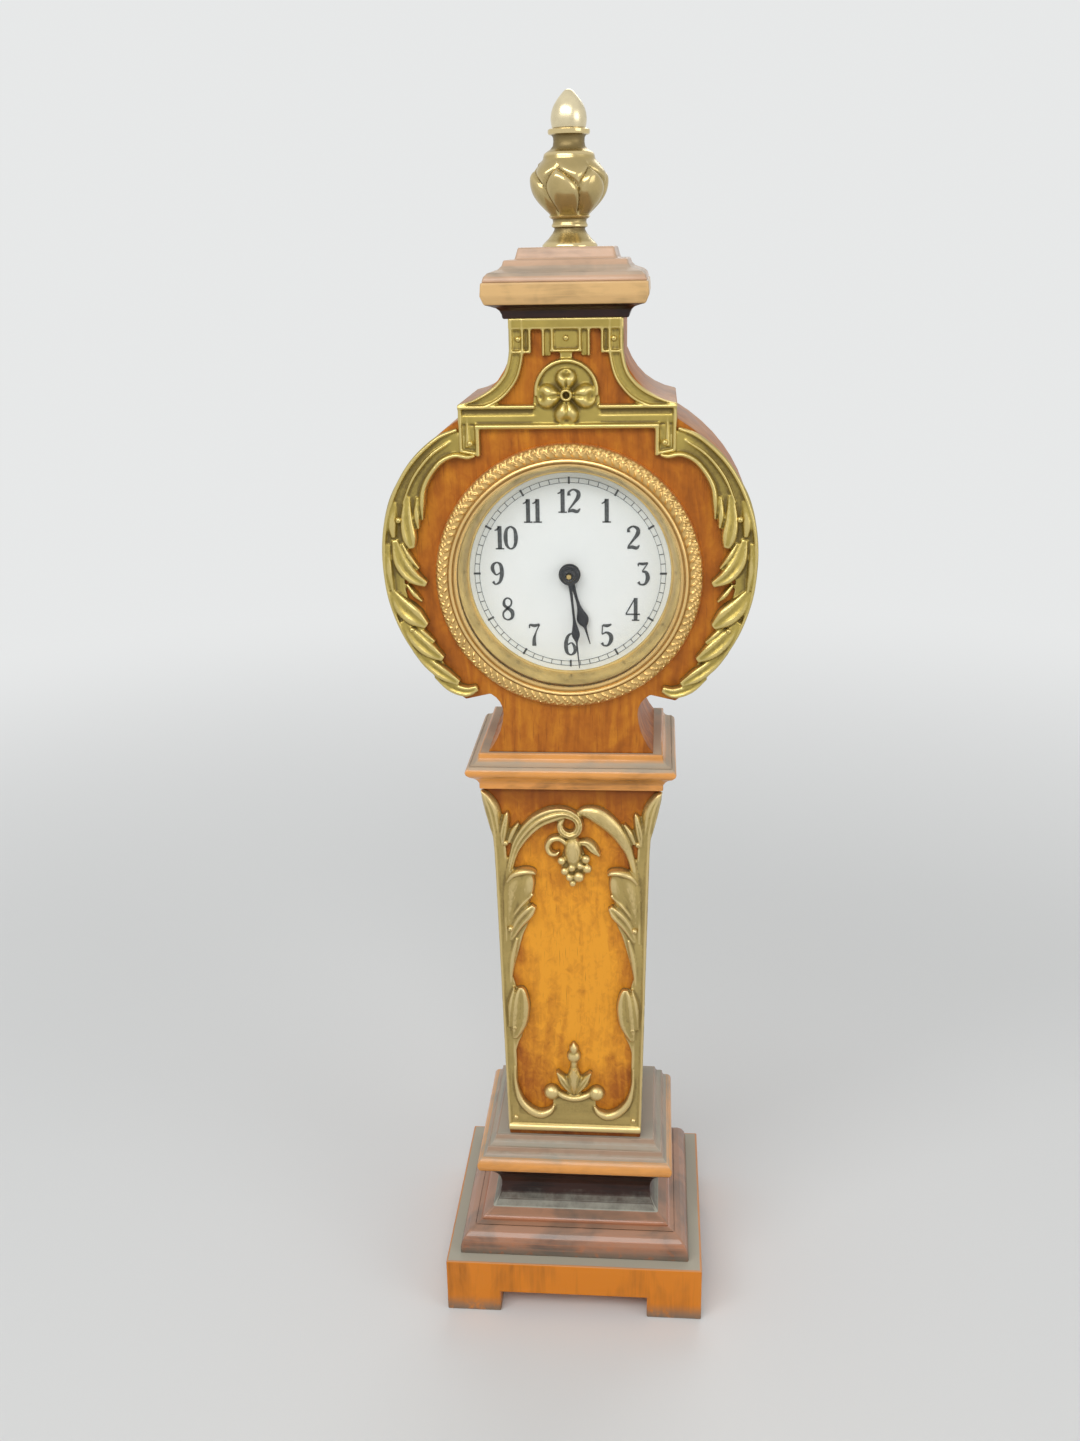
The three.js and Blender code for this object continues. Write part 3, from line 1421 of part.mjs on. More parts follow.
function cannonPinion() {
  const bore = holeRadius(centreArborRadius, arborSides, runningGap);
  const back = frontPlateFront - 0.2;
  const leaves = plate(toothed(cannonLeaves, cannonModule, minuteDegrees, centrePlace, pinionForm),
    back, back - cannonFront);
  const tip = minuteHandBack - handThickness;
  const pipe = turnedAcross([[0, back], [cannonPipeRadius, back], [cannonPipeRadius, tip], [0, tip]],
    12, 0, dialCentre);
  const through = plate(circle(bore, arborSides, 0, dialCentre), back + headDepth, 2 * headDepth);
  return leaves.add(pipe).subtract(through);
}

function minuteWheel() {
  const boreRadius = holeRadius(minuteStudRadius, arborSides, runningGap);
  const bore = circle(boreRadius, arborSides, minutePlace[0], minutePlace[1]);
  const wheel = plate(toothed(minuteTeeth, cannonModule, minuteDegrees + 180, minutePlace, wheelForm),
    minuteWheelFront + wheelThickness, wheelThickness, [bore]);
  const pinionFront = hourWheelFront - 0.4;
  const leaves = plate(toothed(minuteLeaves, minuteModule, minuteDegrees + 180, minutePlace, pinionForm),
    minuteWheelFront + 0.1, minuteWheelFront + 0.1 - pinionFront, [bore]);
  return wheel.add(leaves);
}

function minuteStud() {
  const tip = hourWheelFront - 0.6;
  return turnedAcross([[0, tip], [minuteStudRadius, tip], [minuteStudRadius, frontPlateFront - 0.3],
    [1.6, frontPlateFront - 0.3], [1.6, frontPlateFront], [0, frontPlateFront]],
  arborSides, minutePlace[0], minutePlace[1]);
}

function hourWheel() {
  const pipeBore = holeRadius(cannonPipeRadius, 12, runningGap);
  const wheel = plate(toothed(hourTeeth, minuteModule, minuteDegrees, centrePlace, wheelForm),
    hourWheelFront + wheelThickness, wheelThickness);
  const tip = hourHandBack - handThickness;
  const pipe = turnedAcross([[0, hourWheelFront + 0.2], [hourPipeRadius, hourWheelFront + 0.2],
    [hourPipeRadius, tip], [0, tip]], 12, 0, dialCentre);
  const through = plate(circle(pipeBore, 12, 0, dialCentre), headDepth, 2 * headDepth);
  return wheel.add(pipe).subtract(through);
}

// Plates: discs with a pivot hole for each arbor, held apart by pillars with turned ends

const pillarPlaces = pillarDegrees.map((angle) => stepped(centrePlace, pillarCircle, angle));
const pillarEndRadius = pillarRadius * 0.6;

function movementPlate(back, barrelPivot) {
  const sides = 6;
  const hole = (radius, [x, z]) => circle(holeRadius(radius, sides, runningGap), sides, x, z);
  const pivoted = [thirdPlace, fourthPlace, escapePlace, palletPlace, balancePlace];
  const holes = [
    hole(centreArborRadius, centrePlace),
    hole(barrelPivot, barrelPlace),
    ...pivoted.map((place) => hole(pivotRadius, place)),
    ...pillarPlaces.map((place) => hole(pillarEndRadius, place)),
  ];
  const radius = drumRadius - drumWall - 0.3;
  return plate(circle(radius, 28, 0, dialCentre), back, plateThickness, holes);
}

const frontPlate = () => movementPlate(frontPlateBack, 1);

function backPlate() {
  const screwSides = 10;
  const screwRadius = holeRadius(clickScrewRadius, screwSides, runningGap);
  const screwHole = circle(screwRadius, screwSides, clickPlace[0], clickPlace[1]);
  const through = plate(screwHole, backPlateBack + plateThickness, 3 * plateThickness);
  return movementPlate(backPlateBack, barrelArborRadius).subtract(through);
}

function pillar(place) {
  const [front, back] = [frontPlateBack, backPlateFront];
  return turnedAcross([
    [0, frontPlateFront],
    [pillarEndRadius, frontPlateFront],
    [pillarEndRadius, front],
    [pillarRadius, front],
    [pillarRadius, back],
    [pillarEndRadius, back],
    [pillarEndRadius, backPlateBack],
    [0, backPlateBack],
  ], 6, place[0], place[1]);
}

// Winding key on the square and setting knob on the centre arbor

function windingKey() {
  const [x, z] = barrelPlace;
  const pipeFront = backPlateBack + ratchetThickness + 4;
  const pipeBack = coverBack + 4.6;
  const pipe = turnedAcross([
    [0, pipeFront],
    [keyPipeRadius, pipeFront],
    [keyPipeRadius, pipeBack],
    [0, pipeBack],
  ], 12, x, z);
  const socketDepth = windingEnd + endShake - pipeFront;
  const socket = plate(squareHole(2 * runningGap), pipeFront + socketDepth, 2 * socketDepth);
  const half = keyWidth / 2;
  const wing = new THREE.Shape(vectors(mirrored([
    [1.4, 0], [half * 0.7, 1.2], [half, 3.6], [half * 0.86, 6.6], [half * 0.4, 6.8], [0, 5.2],
  ])));
  const bow = new THREE.ExtrudeGeometry(wing, { depth: keyThickness, bevelEnabled: false });
  return pipe.subtract(socket).add(solid(bow.translate(x, pipeBack - 1, z - keyThickness / 2)));
}

function setKnob() {
  const rim = Array.from({ length: 2 * knobFlutes }, (_, i) => {
    const radius = i % 2 ? knobRadius : knobRadius - 0.5;
    const turn = (Math.PI * i) / knobFlutes;
    return [radius * Math.cos(turn), dialCentre + radius * Math.sin(turn)];
  });
  const bore = circle(holeRadius(centreArborRadius, arborSides, runningGap), arborSides, 0, dialCentre);
  const socket = plate(bore, knobFront + knobLength - 0.6, 2 * knobLength);
  return plate(rim, knobFront + knobLength, knobLength).subtract(socket);
}

// The clock

const clock = new THREE.Group();
clock.name = 'miniature_longcase_clock';

const pieces = [
  ['plinth', plinth(), walnut],
  ['base_ovolo', baseOvolo(), mahogany],
  ['base_scotia', baseScotia(), mahogany],
  ['base_bead', baseBead(), mahogany],
  ['trunk', trunk(), walnut],
  ['trunk_capital', trunkCapital(), walnut],
  ['head_case', headCase(), walnut],
  ['cornice', cornice(), mahogany],
  ['cap_top', capTop(), mahogany],
  ['finial_urn', finialUrn(), polishedBrass],
  ['finial_acorn', finialAcorn(), nickel],
  ['finial_stud', finialStud(), brightSteel],
  ['trunk_mount', trunkMount(), antiqueBrass],
  ['pediment_mount', pedimentMount(), lacqueredBrass],
  ['scroll_mount_left', scrollMount(-1), lacqueredBrass],
  ['scroll_mount_right', scrollMount(1), lacqueredBrass],
  ['bezel', bezel(), rosyBrass],
  ['sight_ring', sightRing(), rosyBrass],
  ['glass', glass(), clearGlass],
  ['dial', dial(), enamel],
  ['hour_hand', hourHand(), blackSteel],
  ['minute_hand', minuteHand(), blackSteel],
  ['hand_collet', handCollet(), blackSteel],
  ['movement_drum', movementDrum(), rosyBrass],
  ['back_cover', backCover(), lacqueredBrass],
  ['front_plate', frontPlate(), polishedBrass],
  ['back_plate', backPlate(), polishedBrass],
  ...pillarPlaces.map((place, i) => [`pillar_${i + 1}`, pillar(place), polishedBrass]),
  ['centre_arbor', centreArbor(), brightSteel],
  ['centre_pinion', centrePinion(), brightSteel],
  ['centre_wheel', centreWheel(), polishedBrass],
  ['mainspring_barrel', mainspringBarrel(), polishedBrass],
  ['barrel_lid', barrelLid(), polishedBrass],
  ['mainspring', mainspring(), brightSteel],
  ['barrel_arbor', barrelArbor(), brightSteel],
  ['ratchet_wheel', ratchetWheel(), brightSteel],
  ['click', click(), brightSteel],
  ['click_screw', clickScrew(), brightSteel],
  ['third_arbor', pinionArbor(thirdPlace, thirdPinionLeaves, centreModule, thirdDegrees,
    meshFront(centreWheelFront)), brightSteel],
  ['third_wheel', trainWheel(thirdTeeth, thirdModule, fourthDegrees, thirdPlace,
    arborFor(thirdPinionLeaves, centreModule), thirdWheelFront), polishedBrass],
  ['fourth_arbor', pinionArbor(fourthPlace, fourthPinionLeaves, thirdModule, fourthDegrees,
    meshFront(thirdWheelFront)), brightSteel],
  ['fourth_wheel', trainWheel(fourthTeeth, fourthModule, escapeDegrees, fourthPlace,
    arborFor(fourthPinionLeaves, thirdModule), fourthWheelFront), polishedBrass],
  ['escape_arbor', pinionArbor(escapePlace, escapePinionLeaves, fourthModule, escapeDegrees,
    meshFront(fourthWheelFront)), brightSteel],
  ['escape_wheel', escapeWheel(), polishedBrass],
  ['pallet_lever', palletLever(), brightSteel],
  ['balance_staff', balanceStaff(), brightSteel],
  ['balance_wheel', balanceWheel(), polishedBrass],
  ['hairspring', hairspring(), brightSteel],
  ['cannon_pinion', cannonPinion(), brightSteel],
  ['minute_wheel', minuteWheel(), polishedBrass],
  ['minute_stud', minuteStud(), brightSteel],
  ['hour_wheel', hourWheel(), polishedBrass],
  ['winding_key', windingKey(), lacqueredBrass],
  ['set_knob', setKnob(), lacqueredBrass],
];
pieces.forEach(([name, body, look]) => clock.add(piece(name, body, look)));

export default clock;
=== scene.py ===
"""Miniature longcase clock: finished wood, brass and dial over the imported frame."""

import math

import bpy
import numpy as np
from bpy.props import FloatProperty, FloatVectorProperty, IntProperty, PointerProperty
from mathutils import Matrix, Vector


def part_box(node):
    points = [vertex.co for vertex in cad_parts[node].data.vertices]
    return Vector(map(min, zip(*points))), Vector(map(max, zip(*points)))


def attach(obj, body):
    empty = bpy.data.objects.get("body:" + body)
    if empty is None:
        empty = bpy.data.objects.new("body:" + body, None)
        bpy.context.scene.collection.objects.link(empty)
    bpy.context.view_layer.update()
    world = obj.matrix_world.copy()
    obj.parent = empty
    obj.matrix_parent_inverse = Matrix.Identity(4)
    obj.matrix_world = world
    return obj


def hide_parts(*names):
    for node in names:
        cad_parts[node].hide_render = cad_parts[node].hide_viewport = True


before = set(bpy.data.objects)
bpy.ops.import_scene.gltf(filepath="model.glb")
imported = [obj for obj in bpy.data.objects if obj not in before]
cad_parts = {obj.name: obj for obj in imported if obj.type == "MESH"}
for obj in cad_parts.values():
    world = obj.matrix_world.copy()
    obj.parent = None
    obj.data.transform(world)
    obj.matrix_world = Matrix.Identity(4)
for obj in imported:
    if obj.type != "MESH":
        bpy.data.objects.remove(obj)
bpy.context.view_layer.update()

bl_info = {
    "name": "Miniature Longcase Clock",
    "version": (1, 0, 0),
    "blender": (4, 5, 0),
    "location": "View3D > Sidebar > Clock",
    "description": "Builds the wood, brass mounts, dial and movement of a miniature longcase clock",
    "category": "Object",
}

# Millimetres are used for modelling, and a finished piece is scaled to metres
MM = 0.001
# Finishes made here have their own names beside the plain ones of the frame
PREFIX = "clock_"
# Points nearer than this become one, in millimetres
MERGE = 0.002


def box_mm(node):
    low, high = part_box(node)
    return low / MM, high / MM


def front_back(node):
    """Where a node begins and ends from front to back."""
    low, high = box_mm(node)
    return low.y, high.y


def radius_mm(node):
    """Radius of a round piece about the dial's axis."""
    low, high = box_mm(node)
    return (high.z - low.z) / 2


TRUNK_LOW, TRUNK_HIGH = box_mm("trunk")
DIAL_LOW, DIAL_HIGH = box_mm("dial")
KEY_LOW, KEY_HIGH = box_mm("winding_key")
TRUNK_FRONT = TRUNK_LOW.y
HEAD_FRONT = front_back("head_case")[0]
MOUNT_FOOT = box_mm("trunk_mount")[0].z
BEZEL_RADIUS = radius_mm("bezel")
DIAL_CENTRE = (DIAL_LOW.z + DIAL_HIGH.z) / 2
# Height of the brightest part of the trunk's veneer
PANEL_GLOW = 112


def length(name, about, size):
    """A length given in millimetres and kept in metres."""
    return FloatProperty(name=name, description=about, default=size * MM, unit="LENGTH")


def tint(name, about, colour):
    return FloatVectorProperty(name=name, description=about, default=colour, subtype="COLOR")


def angle(name, about, turn):
    return FloatProperty(name=name, description=about, default=turn, subtype="ANGLE")


class ClockSizes(bpy.types.PropertyGroup):
    """Sizes of the finishing work, in metres as the scene shows them"""

    worn_edge: length("Worn Edge", "Rounding on the wooden arrises", 0.4)
    pin_radius: length("Pin Radius", "Radius of the round heads that hold the mounts", 0.75)
    casting_grain: length("Casting Grain", "Size of the smallest form that the castings keep", 0.24)
    numeral_height: length("Numeral Height", "Height of the dial numerals", 6.5)
    numeral_circle: length("Numeral Circle", "Radius of the circle that the numerals stand on", 20.2)
    track_radius: length("Minute Track Radius", "Radius of the middle of the minute track", 25.8)
    bezel_motifs: IntProperty(
        name="Bezel Motifs",
        description="Groups of small leaves chased round the bezel",
        default=96,
    )


class ClockColours(bpy.types.PropertyGroup):
    """Colours of the woods, metals, dial and stage, linear"""

    panel_light: tint("Panel Light", "Lightest streaks of the veneered panels", (0.86, 0.36, 0.030))
    panel_mid: tint("Panel Middle", "Body colour of the veneered panels", (0.43, 0.130, 0.014))
    panel_dark: tint("Panel Dark", "Dark figure of the veneered panels", (0.15, 0.035, 0.007))
    plinth_orange: tint("Plinth Orange", "Veneer of the plinth", (0.70, 0.215, 0.009))
    moulding_warm: tint("Moulding Warm", "Bead and capital", (0.80, 0.34, 0.075))
    moulding_tan: tint("Moulding Tan", "Cornice", (0.72, 0.45, 0.19))
    moulding_rosy: tint("Moulding Rosy", "Cap", (0.64, 0.40, 0.255))
    # Also the painted highlight along the arrises of the dark mouldings
    moulding_light: tint("Moulding Light", "Worn edges of the dark mouldings", (0.43, 0.155, 0.062))
    moulding_dark: tint("Moulding Dark", "Body colour of the dark mouldings", (0.105, 0.032, 0.017))
    # Dust on upward surfaces, and on the mouldings also a painted sheen of light from above
    dust: tint("Dust", "Grey bloom on upward surfaces", (0.44, 0.425, 0.345))
    brass_antique: tint("Antique Brass", "Trunk mount", (0.54, 0.40, 0.145))
    brass_lacquered: tint("Lacquered Brass", "Mounts on the head, cover, key and knob", (0.50, 0.38, 0.10))
    brass_rosy: tint("Rosy Brass", "Bezel", (0.72, 0.47, 0.17))
    brass_polished: tint("Polished Brass", "Finial", (0.56, 0.43, 0.19))
    brass_movement: tint("Movement Brass", "Plates and wheels", (0.72, 0.52, 0.20))
    brass_spun: tint("Spun Brass", "Sight ring", (0.84, 0.60, 0.22))
    steel_bright: tint("Bright Steel", "Arbors, springs and screws", (0.55, 0.56, 0.58))
    nickel: tint("Nickel", "Acorn of the finial", (0.88, 0.76, 0.50))
    # Patina in the recesses of the brass, deepened as painted shade
    patina: tint("Patina", "Dark film in the recesses of the brass", (0.13, 0.085, 0.022))
    dial_white: tint("Dial White", "Painted dial", (0.93, 0.95, 0.93))
    ink: tint("Ink", "Numerals and minute track", (0.045, 0.05, 0.05))
    hand_black: tint("Hand Black", "Hands and collet", (0.012, 0.013, 0.016))
    hand_grey: tint("Hand Grey", "Paler blots on the hands", (0.03, 0.03, 0.034))
    glass: tint("Glass", "Faint haze of the dial glass", (0.5, 0.52, 0.52))
    floor: tint("Floor", "Plain pale floor", (0.78, 0.78, 0.77))
    backdrop: tint("Backdrop", "Plain pale background", (0.80, 0.81, 0.81))
    sky: tint("Sky Tint", "Even light from all round", (0.95, 0.98, 1.0))


class ClockStage(bpy.types.PropertyGroup):
    """Camera and light"""

    camera_place: FloatVectorProperty(
        name="Camera Place",
        description="Where the camera stands",
        default=(24.13 * MM, -395.54 * MM, 319.88 * MM),
        subtype="TRANSLATION",
    )
    camera_yaw: angle("Camera Yaw", "Turn of the camera to the left of straight ahead", 0.0870)
    camera_pitch: angle("Camera Pitch", "Downward tilt of the camera", 0.3257)
    camera_roll: angle("Camera Roll", "Roll of the camera", -0.0183)
    focal_length: FloatProperty(
        name="Focal Length",
        description="Focal length on a 36 mm long side, in millimetres",
        default=35.06,
    )
    sky: FloatProperty(
        name="Sky",
        description="Strength of the even light from all round",
        default=0.45,
    )
    key_power: FloatProperty(
        name="Key Power",
        description="Power of the soft lamp above, in watts",
        default=8.0,
    )


# Modelling helpers


def pick(piece):
    """Makes this the only selected and active object."""
    bpy.ops.object.select_all(action="DESELECT")
    piece.select_set(True)
    bpy.context.view_layer.objects.active = piece


def start(name):
    """Names the primitive that was just added and returns it."""
    piece = bpy.context.object
    piece.name = name
    piece.data.name = name
    return piece


def edit(piece, selected=True):
    pick(piece)
    bpy.ops.object.mode_set(mode="EDIT")
    bpy.ops.mesh.select_all(action="SELECT" if selected else "DESELECT")


def leave_edit():
    bpy.ops.object.mode_set(mode="OBJECT")


def modify(piece, kind, **settings):
    """Adds a modifier, sets it and applies it."""
    pick(piece)
    modifier = piece.modifiers.new(kind.title(), kind)
    for key, value in settings.items():
        setattr(modifier, key, value)
    bpy.ops.object.modifier_apply(modifier=modifier.name)


def tidy(piece, merge=0.0):
    """Merges doubles and turns all faces outwards."""
    edit(piece)
    if merge:
        bpy.ops.mesh.remove_doubles(threshold=merge)
    bpy.ops.mesh.normals_make_consistent(inside=False)
    leave_edit()


def joined(name, parts):
    bpy.ops.object.select_all(action="DESELECT")
    for part in parts:
        part.select_set(True)
    bpy.context.view_layer.objects.active = parts[0]
    if len(parts) > 1:
        bpy.ops.object.join()
    return start(name)


def to_metres(piece):
    """Scales a piece modelled in millimetres and puts its place in its mesh."""
    pick(piece)
    piece.location = piece.location * MM
    piece.scale = piece.scale * MM
    bpy.ops.object.transform_apply(location=True, rotation=True, scale=True)


def shade(piece, degrees):
    pick(piece)
    bpy.ops.object.shade_smooth_by_angle(angle=math.radians(degrees))


def finish_piece(piece, look, body, slot, *nodes):
    """Gives a piece its material and its body, and hides the nodes that it stands for. The slot is not
    used.
    """
    piece.data.materials.clear()
    piece.data.materials.append(material(look))
    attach(piece, body)
    if nodes:
        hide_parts(*nodes)


def complete(piece, degrees, look, body, slot, *nodes):
    """Scales a piece to metres, shades it smooth up to an angle and finishes it."""
    to_metres(piece)
    shade(piece, degrees)
    finish_piece(piece, look, body, slot, *nodes)


def moved(piece, place):
    """Shifts a piece and puts its place in its mesh."""
    pick(piece)
    piece.location = place
    bpy.ops.object.transform_apply(location=True, rotation=False, scale=False)
    return piece


def backed(piece):
    """Closes strips in relief with a flat back."""
    edit(piece)
    bpy.ops.mesh.extrude_region_move(TRANSFORM_OT_translate={"value": (0, 0.1, 0)})
    bpy.ops.transform.resize(value=(1, 0, 1), center_override=(0, 0, 0))
    leave_edit()
    tidy(piece)
    return piece


def refined(node, edge, sharp=35, flat=0.6):
    """A merged copy of a node's mesh with its edges above a sharp angle worn round."""
    piece = bpy.data.objects.new(node + "_wood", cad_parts[node].data.copy())
    bpy.context.scene.collection.objects.link(piece)
    edit(piece)
    bpy.ops.mesh.remove_doubles(threshold=MERGE * MM)
    bpy.ops.mesh.dissolve_limited(angle_limit=math.radians(flat))
    leave_edit()
    modify(
        piece,
        "BEVEL",
        width=edge,
        segments=3,
        limit_method="ANGLE",
        angle_limit=math.radians(sharp),
        use_clamp_overlap=True,
    )
    shade(piece, sharp)
    return piece


def inset_broad_faces(piece, margin, spare=1.1):
    """Insets the faces with room to spare, so that the marks at their edges, wear and painted highlight,
    grime and painted shade, stay near those edges.
    """
    edit(piece, selected=False)
    bpy.ops.mesh.select_mode(type="FACE")
    leave_edit()
    mesh = piece.data
    for face in mesh.polygons:
        ring = [mesh.vertices[i].co for i in face.vertices]
        girth = sum((a - b).length for a, b in zip(ring, ring[1:] + ring[:1]))
        face.select = face.area > spare * margin * girth
    pick(piece)
    bpy.ops.object.mode_set(mode="EDIT")
    bpy.ops.mesh.inset(thickness=margin, use_individual=True)
    bpy.ops.mesh.select_mode(type="VERT")
    leave_edit()


def turned(name, profile, sides, across=False):
    """A turned piece from a profile of (radius, height) about an upright axis.

    Across, it is turned about the dial's axis, from a profile of (radius, distance back).
    """
    if across:
        profile = [(radius, -back) for radius, back in profile]
    radius, height = profile[0]
    bpy.ops.mesh.primitive_circle_add(vertices=sides, radius=radius, location=(0, 0, 0))
    piece = start(name)
    edit(piece)
    bpy.ops.transform.translate(value=(0, 0, height))
    for next_radius, next_height in profile[1:]:
        bpy.ops.mesh.extrude_region_move(TRANSFORM_OT_translate={"value": (0, 0, next_height - height)})
        grow = next_radius / radius
        bpy.ops.transform.resize(value=(grow, grow, 1), center_override=(0, 0, next_height))
        radius, height = next_radius, next_height
    leave_edit()
    tidy(piece, merge=MERGE)
    if across:
        pick(piece)
        piece.rotation_euler.x = math.pi / 2
        piece.location.z = DIAL_CENTRE
        bpy.ops.object.transform_apply(location=True, rotation=True, scale=False)
    return piece


def smooth_line(points, count):
    """Evenly stepped points of a smooth line through the given ones, whatever they hold."""
    rows = [np.array(p, float) for p in points]
    rows = [2 * rows[0] - rows[1], *rows, 2 * rows[-1] - rows[-2]]
    spans = len(points) - 1
    line = []
    for i in range(count + 1):
        place = spans * i / count
        k = min(int(place), spans - 1)
        t = place - k
        a, b, c, d = rows[k:k + 4]
        slope, bend, change = c - a, 2 * a - 5 * b + 4 * c - d, 3 * b - 3 * c + d - a
        line.append(0.5 * (2 * b + slope * t + bend * t**2 + change * t**3))
    return line


# Sections across a strip, from -1 to 1, as shares of its height


def level(along, across):
    return 1.0


def thin_blade(along, across):
    return 1 - 0.3 * across**4


def round_stem(along, across):
    return 0.25 + 0.75 * math.sqrt(max(0.0, 1 - across**2))


def reeded(along, across):
    """A stem of three strands."""
    strands = abs(math.cos(1.5 * math.pi * across))
    return (0.3 + 0.7 * math.sqrt(max(0.0, 1 - across**2))) * (0.72 + 0.28 * strands)


def flat_strip(along, across):
    return 1 - 0.25 * abs(across) ** 8


def beaded_strip(along, across):
    """A channel between two raised rims."""
    rim = math.exp(-(((abs(across) - 0.74) / 0.2) ** 2))
    return 0.55 + 0.45 * rim - 0.25 * abs(across) ** 10


def soft_lobe(along, across):
    """A plump lobe that falls steeply to its edges."""
    return 0.15 + 0.85 * math.sqrt(max(0.0, 1 - across**2))


def folded_leaf(along, across):
    """A leaf that rises to soft flanks on both sides of a sunk midrib."""
    rib = math.exp(-((across / 0.16) ** 2))
    crown = 1 - 0.8 * across**2
    return crown - 0.3 * rib * (1 - 0.6 * along)


def keeled_leaf(along, across):
    """A leaf with a raised midrib and hollow flanks."""
    return 0.42 + 0.58 * (1 - abs(across)) ** 0.8


def cupped_petal(along, across):
    """A bulbous petal with a cleft near its foot and a hollow towards its tip."""
    dome = math.sqrt(max(0.0, 1 - 0.9 * across**2)) * math.sin(math.pi * (0.2 + 0.68 * along))
    hollow = 0.45 * math.exp(-(((along - 0.64) / 0.17) ** 2) - (across / 0.5) ** 2)
    cleft = 0.25 * math.exp(-(((along - 0.25) / 0.2) ** 2) - (across / 0.18) ** 2)
    return max(0.2, dome - hollow - cleft)


def broad_leaf(along, across):
    """A plump leaf, round at its edges, with a shallow hollow down its middle."""
    dome = 0.2 + 0.8 * math.sqrt(max(0.0, 1 - across**4))
    return dome - 0.24 * math.exp(-((across / 0.38) ** 2)) * math.sin(math.pi * along) ** 0.7


def strip(path, section, steps, columns, least_half=0.02, least_relief=0.15, points=120):
    """A strip in relief. The path holds (x, height up the clock, half width, relief)."""
    bpy.ops.mesh.primitive_grid_add(x_subdivisions=steps, y_subdivisions=columns, size=1)
    piece = start("strip")
    line = smooth_line(path, points)
    for vertex in piece.data.vertices:
        along = min(1.0, max(0.0, vertex.co.x + 0.5))
        across = 2 * vertex.co.y
        k = round(along * points)
        x, z, half, relief = line[k]
        before, after = line[max(0, k - 1)], line[min(points, k + 1)]
        run, rise = after[0] - before[0], after[1] - before[1]
        side = across * max(least_half, half) / (math.hypot(run, rise) or 1.0)
        height = max(least_relief, relief) * section(along, across)
        vertex.co = (x - rise * side, -height, z + run * side)
    return piece


def relief_strips(rows, base, sides=(1,), columns=16):
    """Strips from rows of (path, section, steps), with heights above a base, on the sides given."""
    strips = []
    for path, section, steps in rows:
        for side in sides:
            placed = [(side * x, base + z, half, relief) for x, z, half, relief in path]
            strips.append(strip(placed, section, steps, columns))
    return strips


def bar(x0, x1, z0, z1, relief, section, steps, columns):
    """A straight strip with square ends."""
    middle, half = (z0 + z1) / 2, (z1 - z0) / 2
    return strip([(x0, middle, half, relief), (x1, middle, half, relief)], section, steps, columns)


def ball(x, z, radius, lift):
    """A bead or grape that stands on the back of a mount."""
    bpy.ops.mesh.primitive_uv_sphere_add(segments=20, ring_count=12, radius=radius, location=(x, -lift, z))
    return start("ball")


def casting(name, strips, back, balls=(), keep=0.5, trim=0.02):
    """Joins strips and balls into one brass casting with a flat back."""
    piece = backed(joined(name, strips))
    if balls:
        piece = joined(name, [piece, *balls])
    grain = bpy.context.scene.clock_sizes.casting_grain / MM
    modify(piece, "REMESH", mode="VOXEL", voxel_size=grain, adaptivity=0.0)
    modify(piece, "SMOOTH", factor=0.5, iterations=4)
    modify(piece, "DECIMATE", ratio=keep)
    edit(piece)
    bpy.ops.mesh.bisect(plane_co=(0, trim, 0), plane_no=(0, 1, 0), clear_outer=True, use_fill=True)
    leave_edit()
    mark_recesses(piece, fine=8, broad=60, front=(0, -1, 0))
    piece.location.y = back
    to_metres(piece)
    bpy.ops.object.shade_smooth()
    return piece


def mark_recesses(piece, fine, broad, front=None):
    """Stores how far each point lies below its surroundings, from -1 on ridges to 1 in grooves.

    With a front direction, depth is measured along it; otherwise along each point's own normal.
    """
    fine_share, broad_share, typical = 0.7, 0.3, 85
    mesh = piece.data
    count = len(mesh.vertices)
    places = np.zeros(count * 3)
    mesh.vertices.foreach_get("co", places)
    places = places.reshape(-1, 3)
    normals = np.zeros(count * 3)
    mesh.vertices.foreach_get("normal", normals)
    normals = normals.reshape(-1, 3)
    ends = np.zeros(len(mesh.edges) * 2, int)
    mesh.edges.foreach_get("vertices", ends)
    a, b = ends[0::2], ends[1::2]
    degree = np.bincount(a, minlength=count) + np.bincount(b, minlength=count)
    degree = np.maximum(degree, 1)
    spread = places.copy()
    recess = np.zeros(count)
    for turn in range(1, broad + 1):
        total = np.zeros_like(spread)
        np.add.at(total, a, spread[b])
        np.add.at(total, b, spread[a])
        spread = total / degree[:, None]
        share = {fine: fine_share, broad: broad_share}.get(turn)
        if share:
            depth = ((spread - places) * (normals if front is None else np.array(front))).sum(1)
            seen = np.ones(count, bool) if front is None else normals @ np.array(front) > 0.5
            scale = np.percentile(np.abs(depth[seen]), typical) or 1.0
            recess += share * np.clip(depth / scale, -1, 1)
    attribute = mesh.attributes.new("recess", "FLOAT", "POINT")
    attribute.data.foreach_set("value", recess.astype(np.float32))


# Shader building


class Value:
    """A shader socket that takes part in Python arithmetic."""

    def __init__(self, nodes, socket):
        self.nodes = nodes
        self.socket = socket

    def maths(self, operation, *operands, clamp=False):
        return self.nodes.node(
            "ShaderNodeMath",
            {"operation": operation, "use_clamp": clamp},
            dict(enumerate(operands)),
        )

    def __add__(self, other):
        return self.maths("ADD", self, other)

    __radd__ = __add__

    def __sub__(self, other):
        return self.maths("SUBTRACT", self, other)

    def __rsub__(self, other):
        return self.maths("SUBTRACT", other, self)

    def __mul__(self, other):
        return self.maths("MULTIPLY", self, other)

    __rmul__ = __mul__

    def __truediv__(self, other):
        return self.maths("DIVIDE", self, other)

    def __pow__(self, other):
        return self.maths("POWER", self, other)

    def clamped(self):
        return self.maths("ADD", self, 0.0, clamp=True)

    def size(self):
        return self.maths("ABSOLUTE", self)

    def sine(self):
        return self.maths("SINE", self)

    def step(self, low, high):
        """0 below low, 1 above high, smooth between."""
        return self.nodes.node(
            "ShaderNodeMapRange",
            {"interpolation_type": "SMOOTHSTEP"},
            {"Value": self, "From Min": low, "From Max": high},
        )


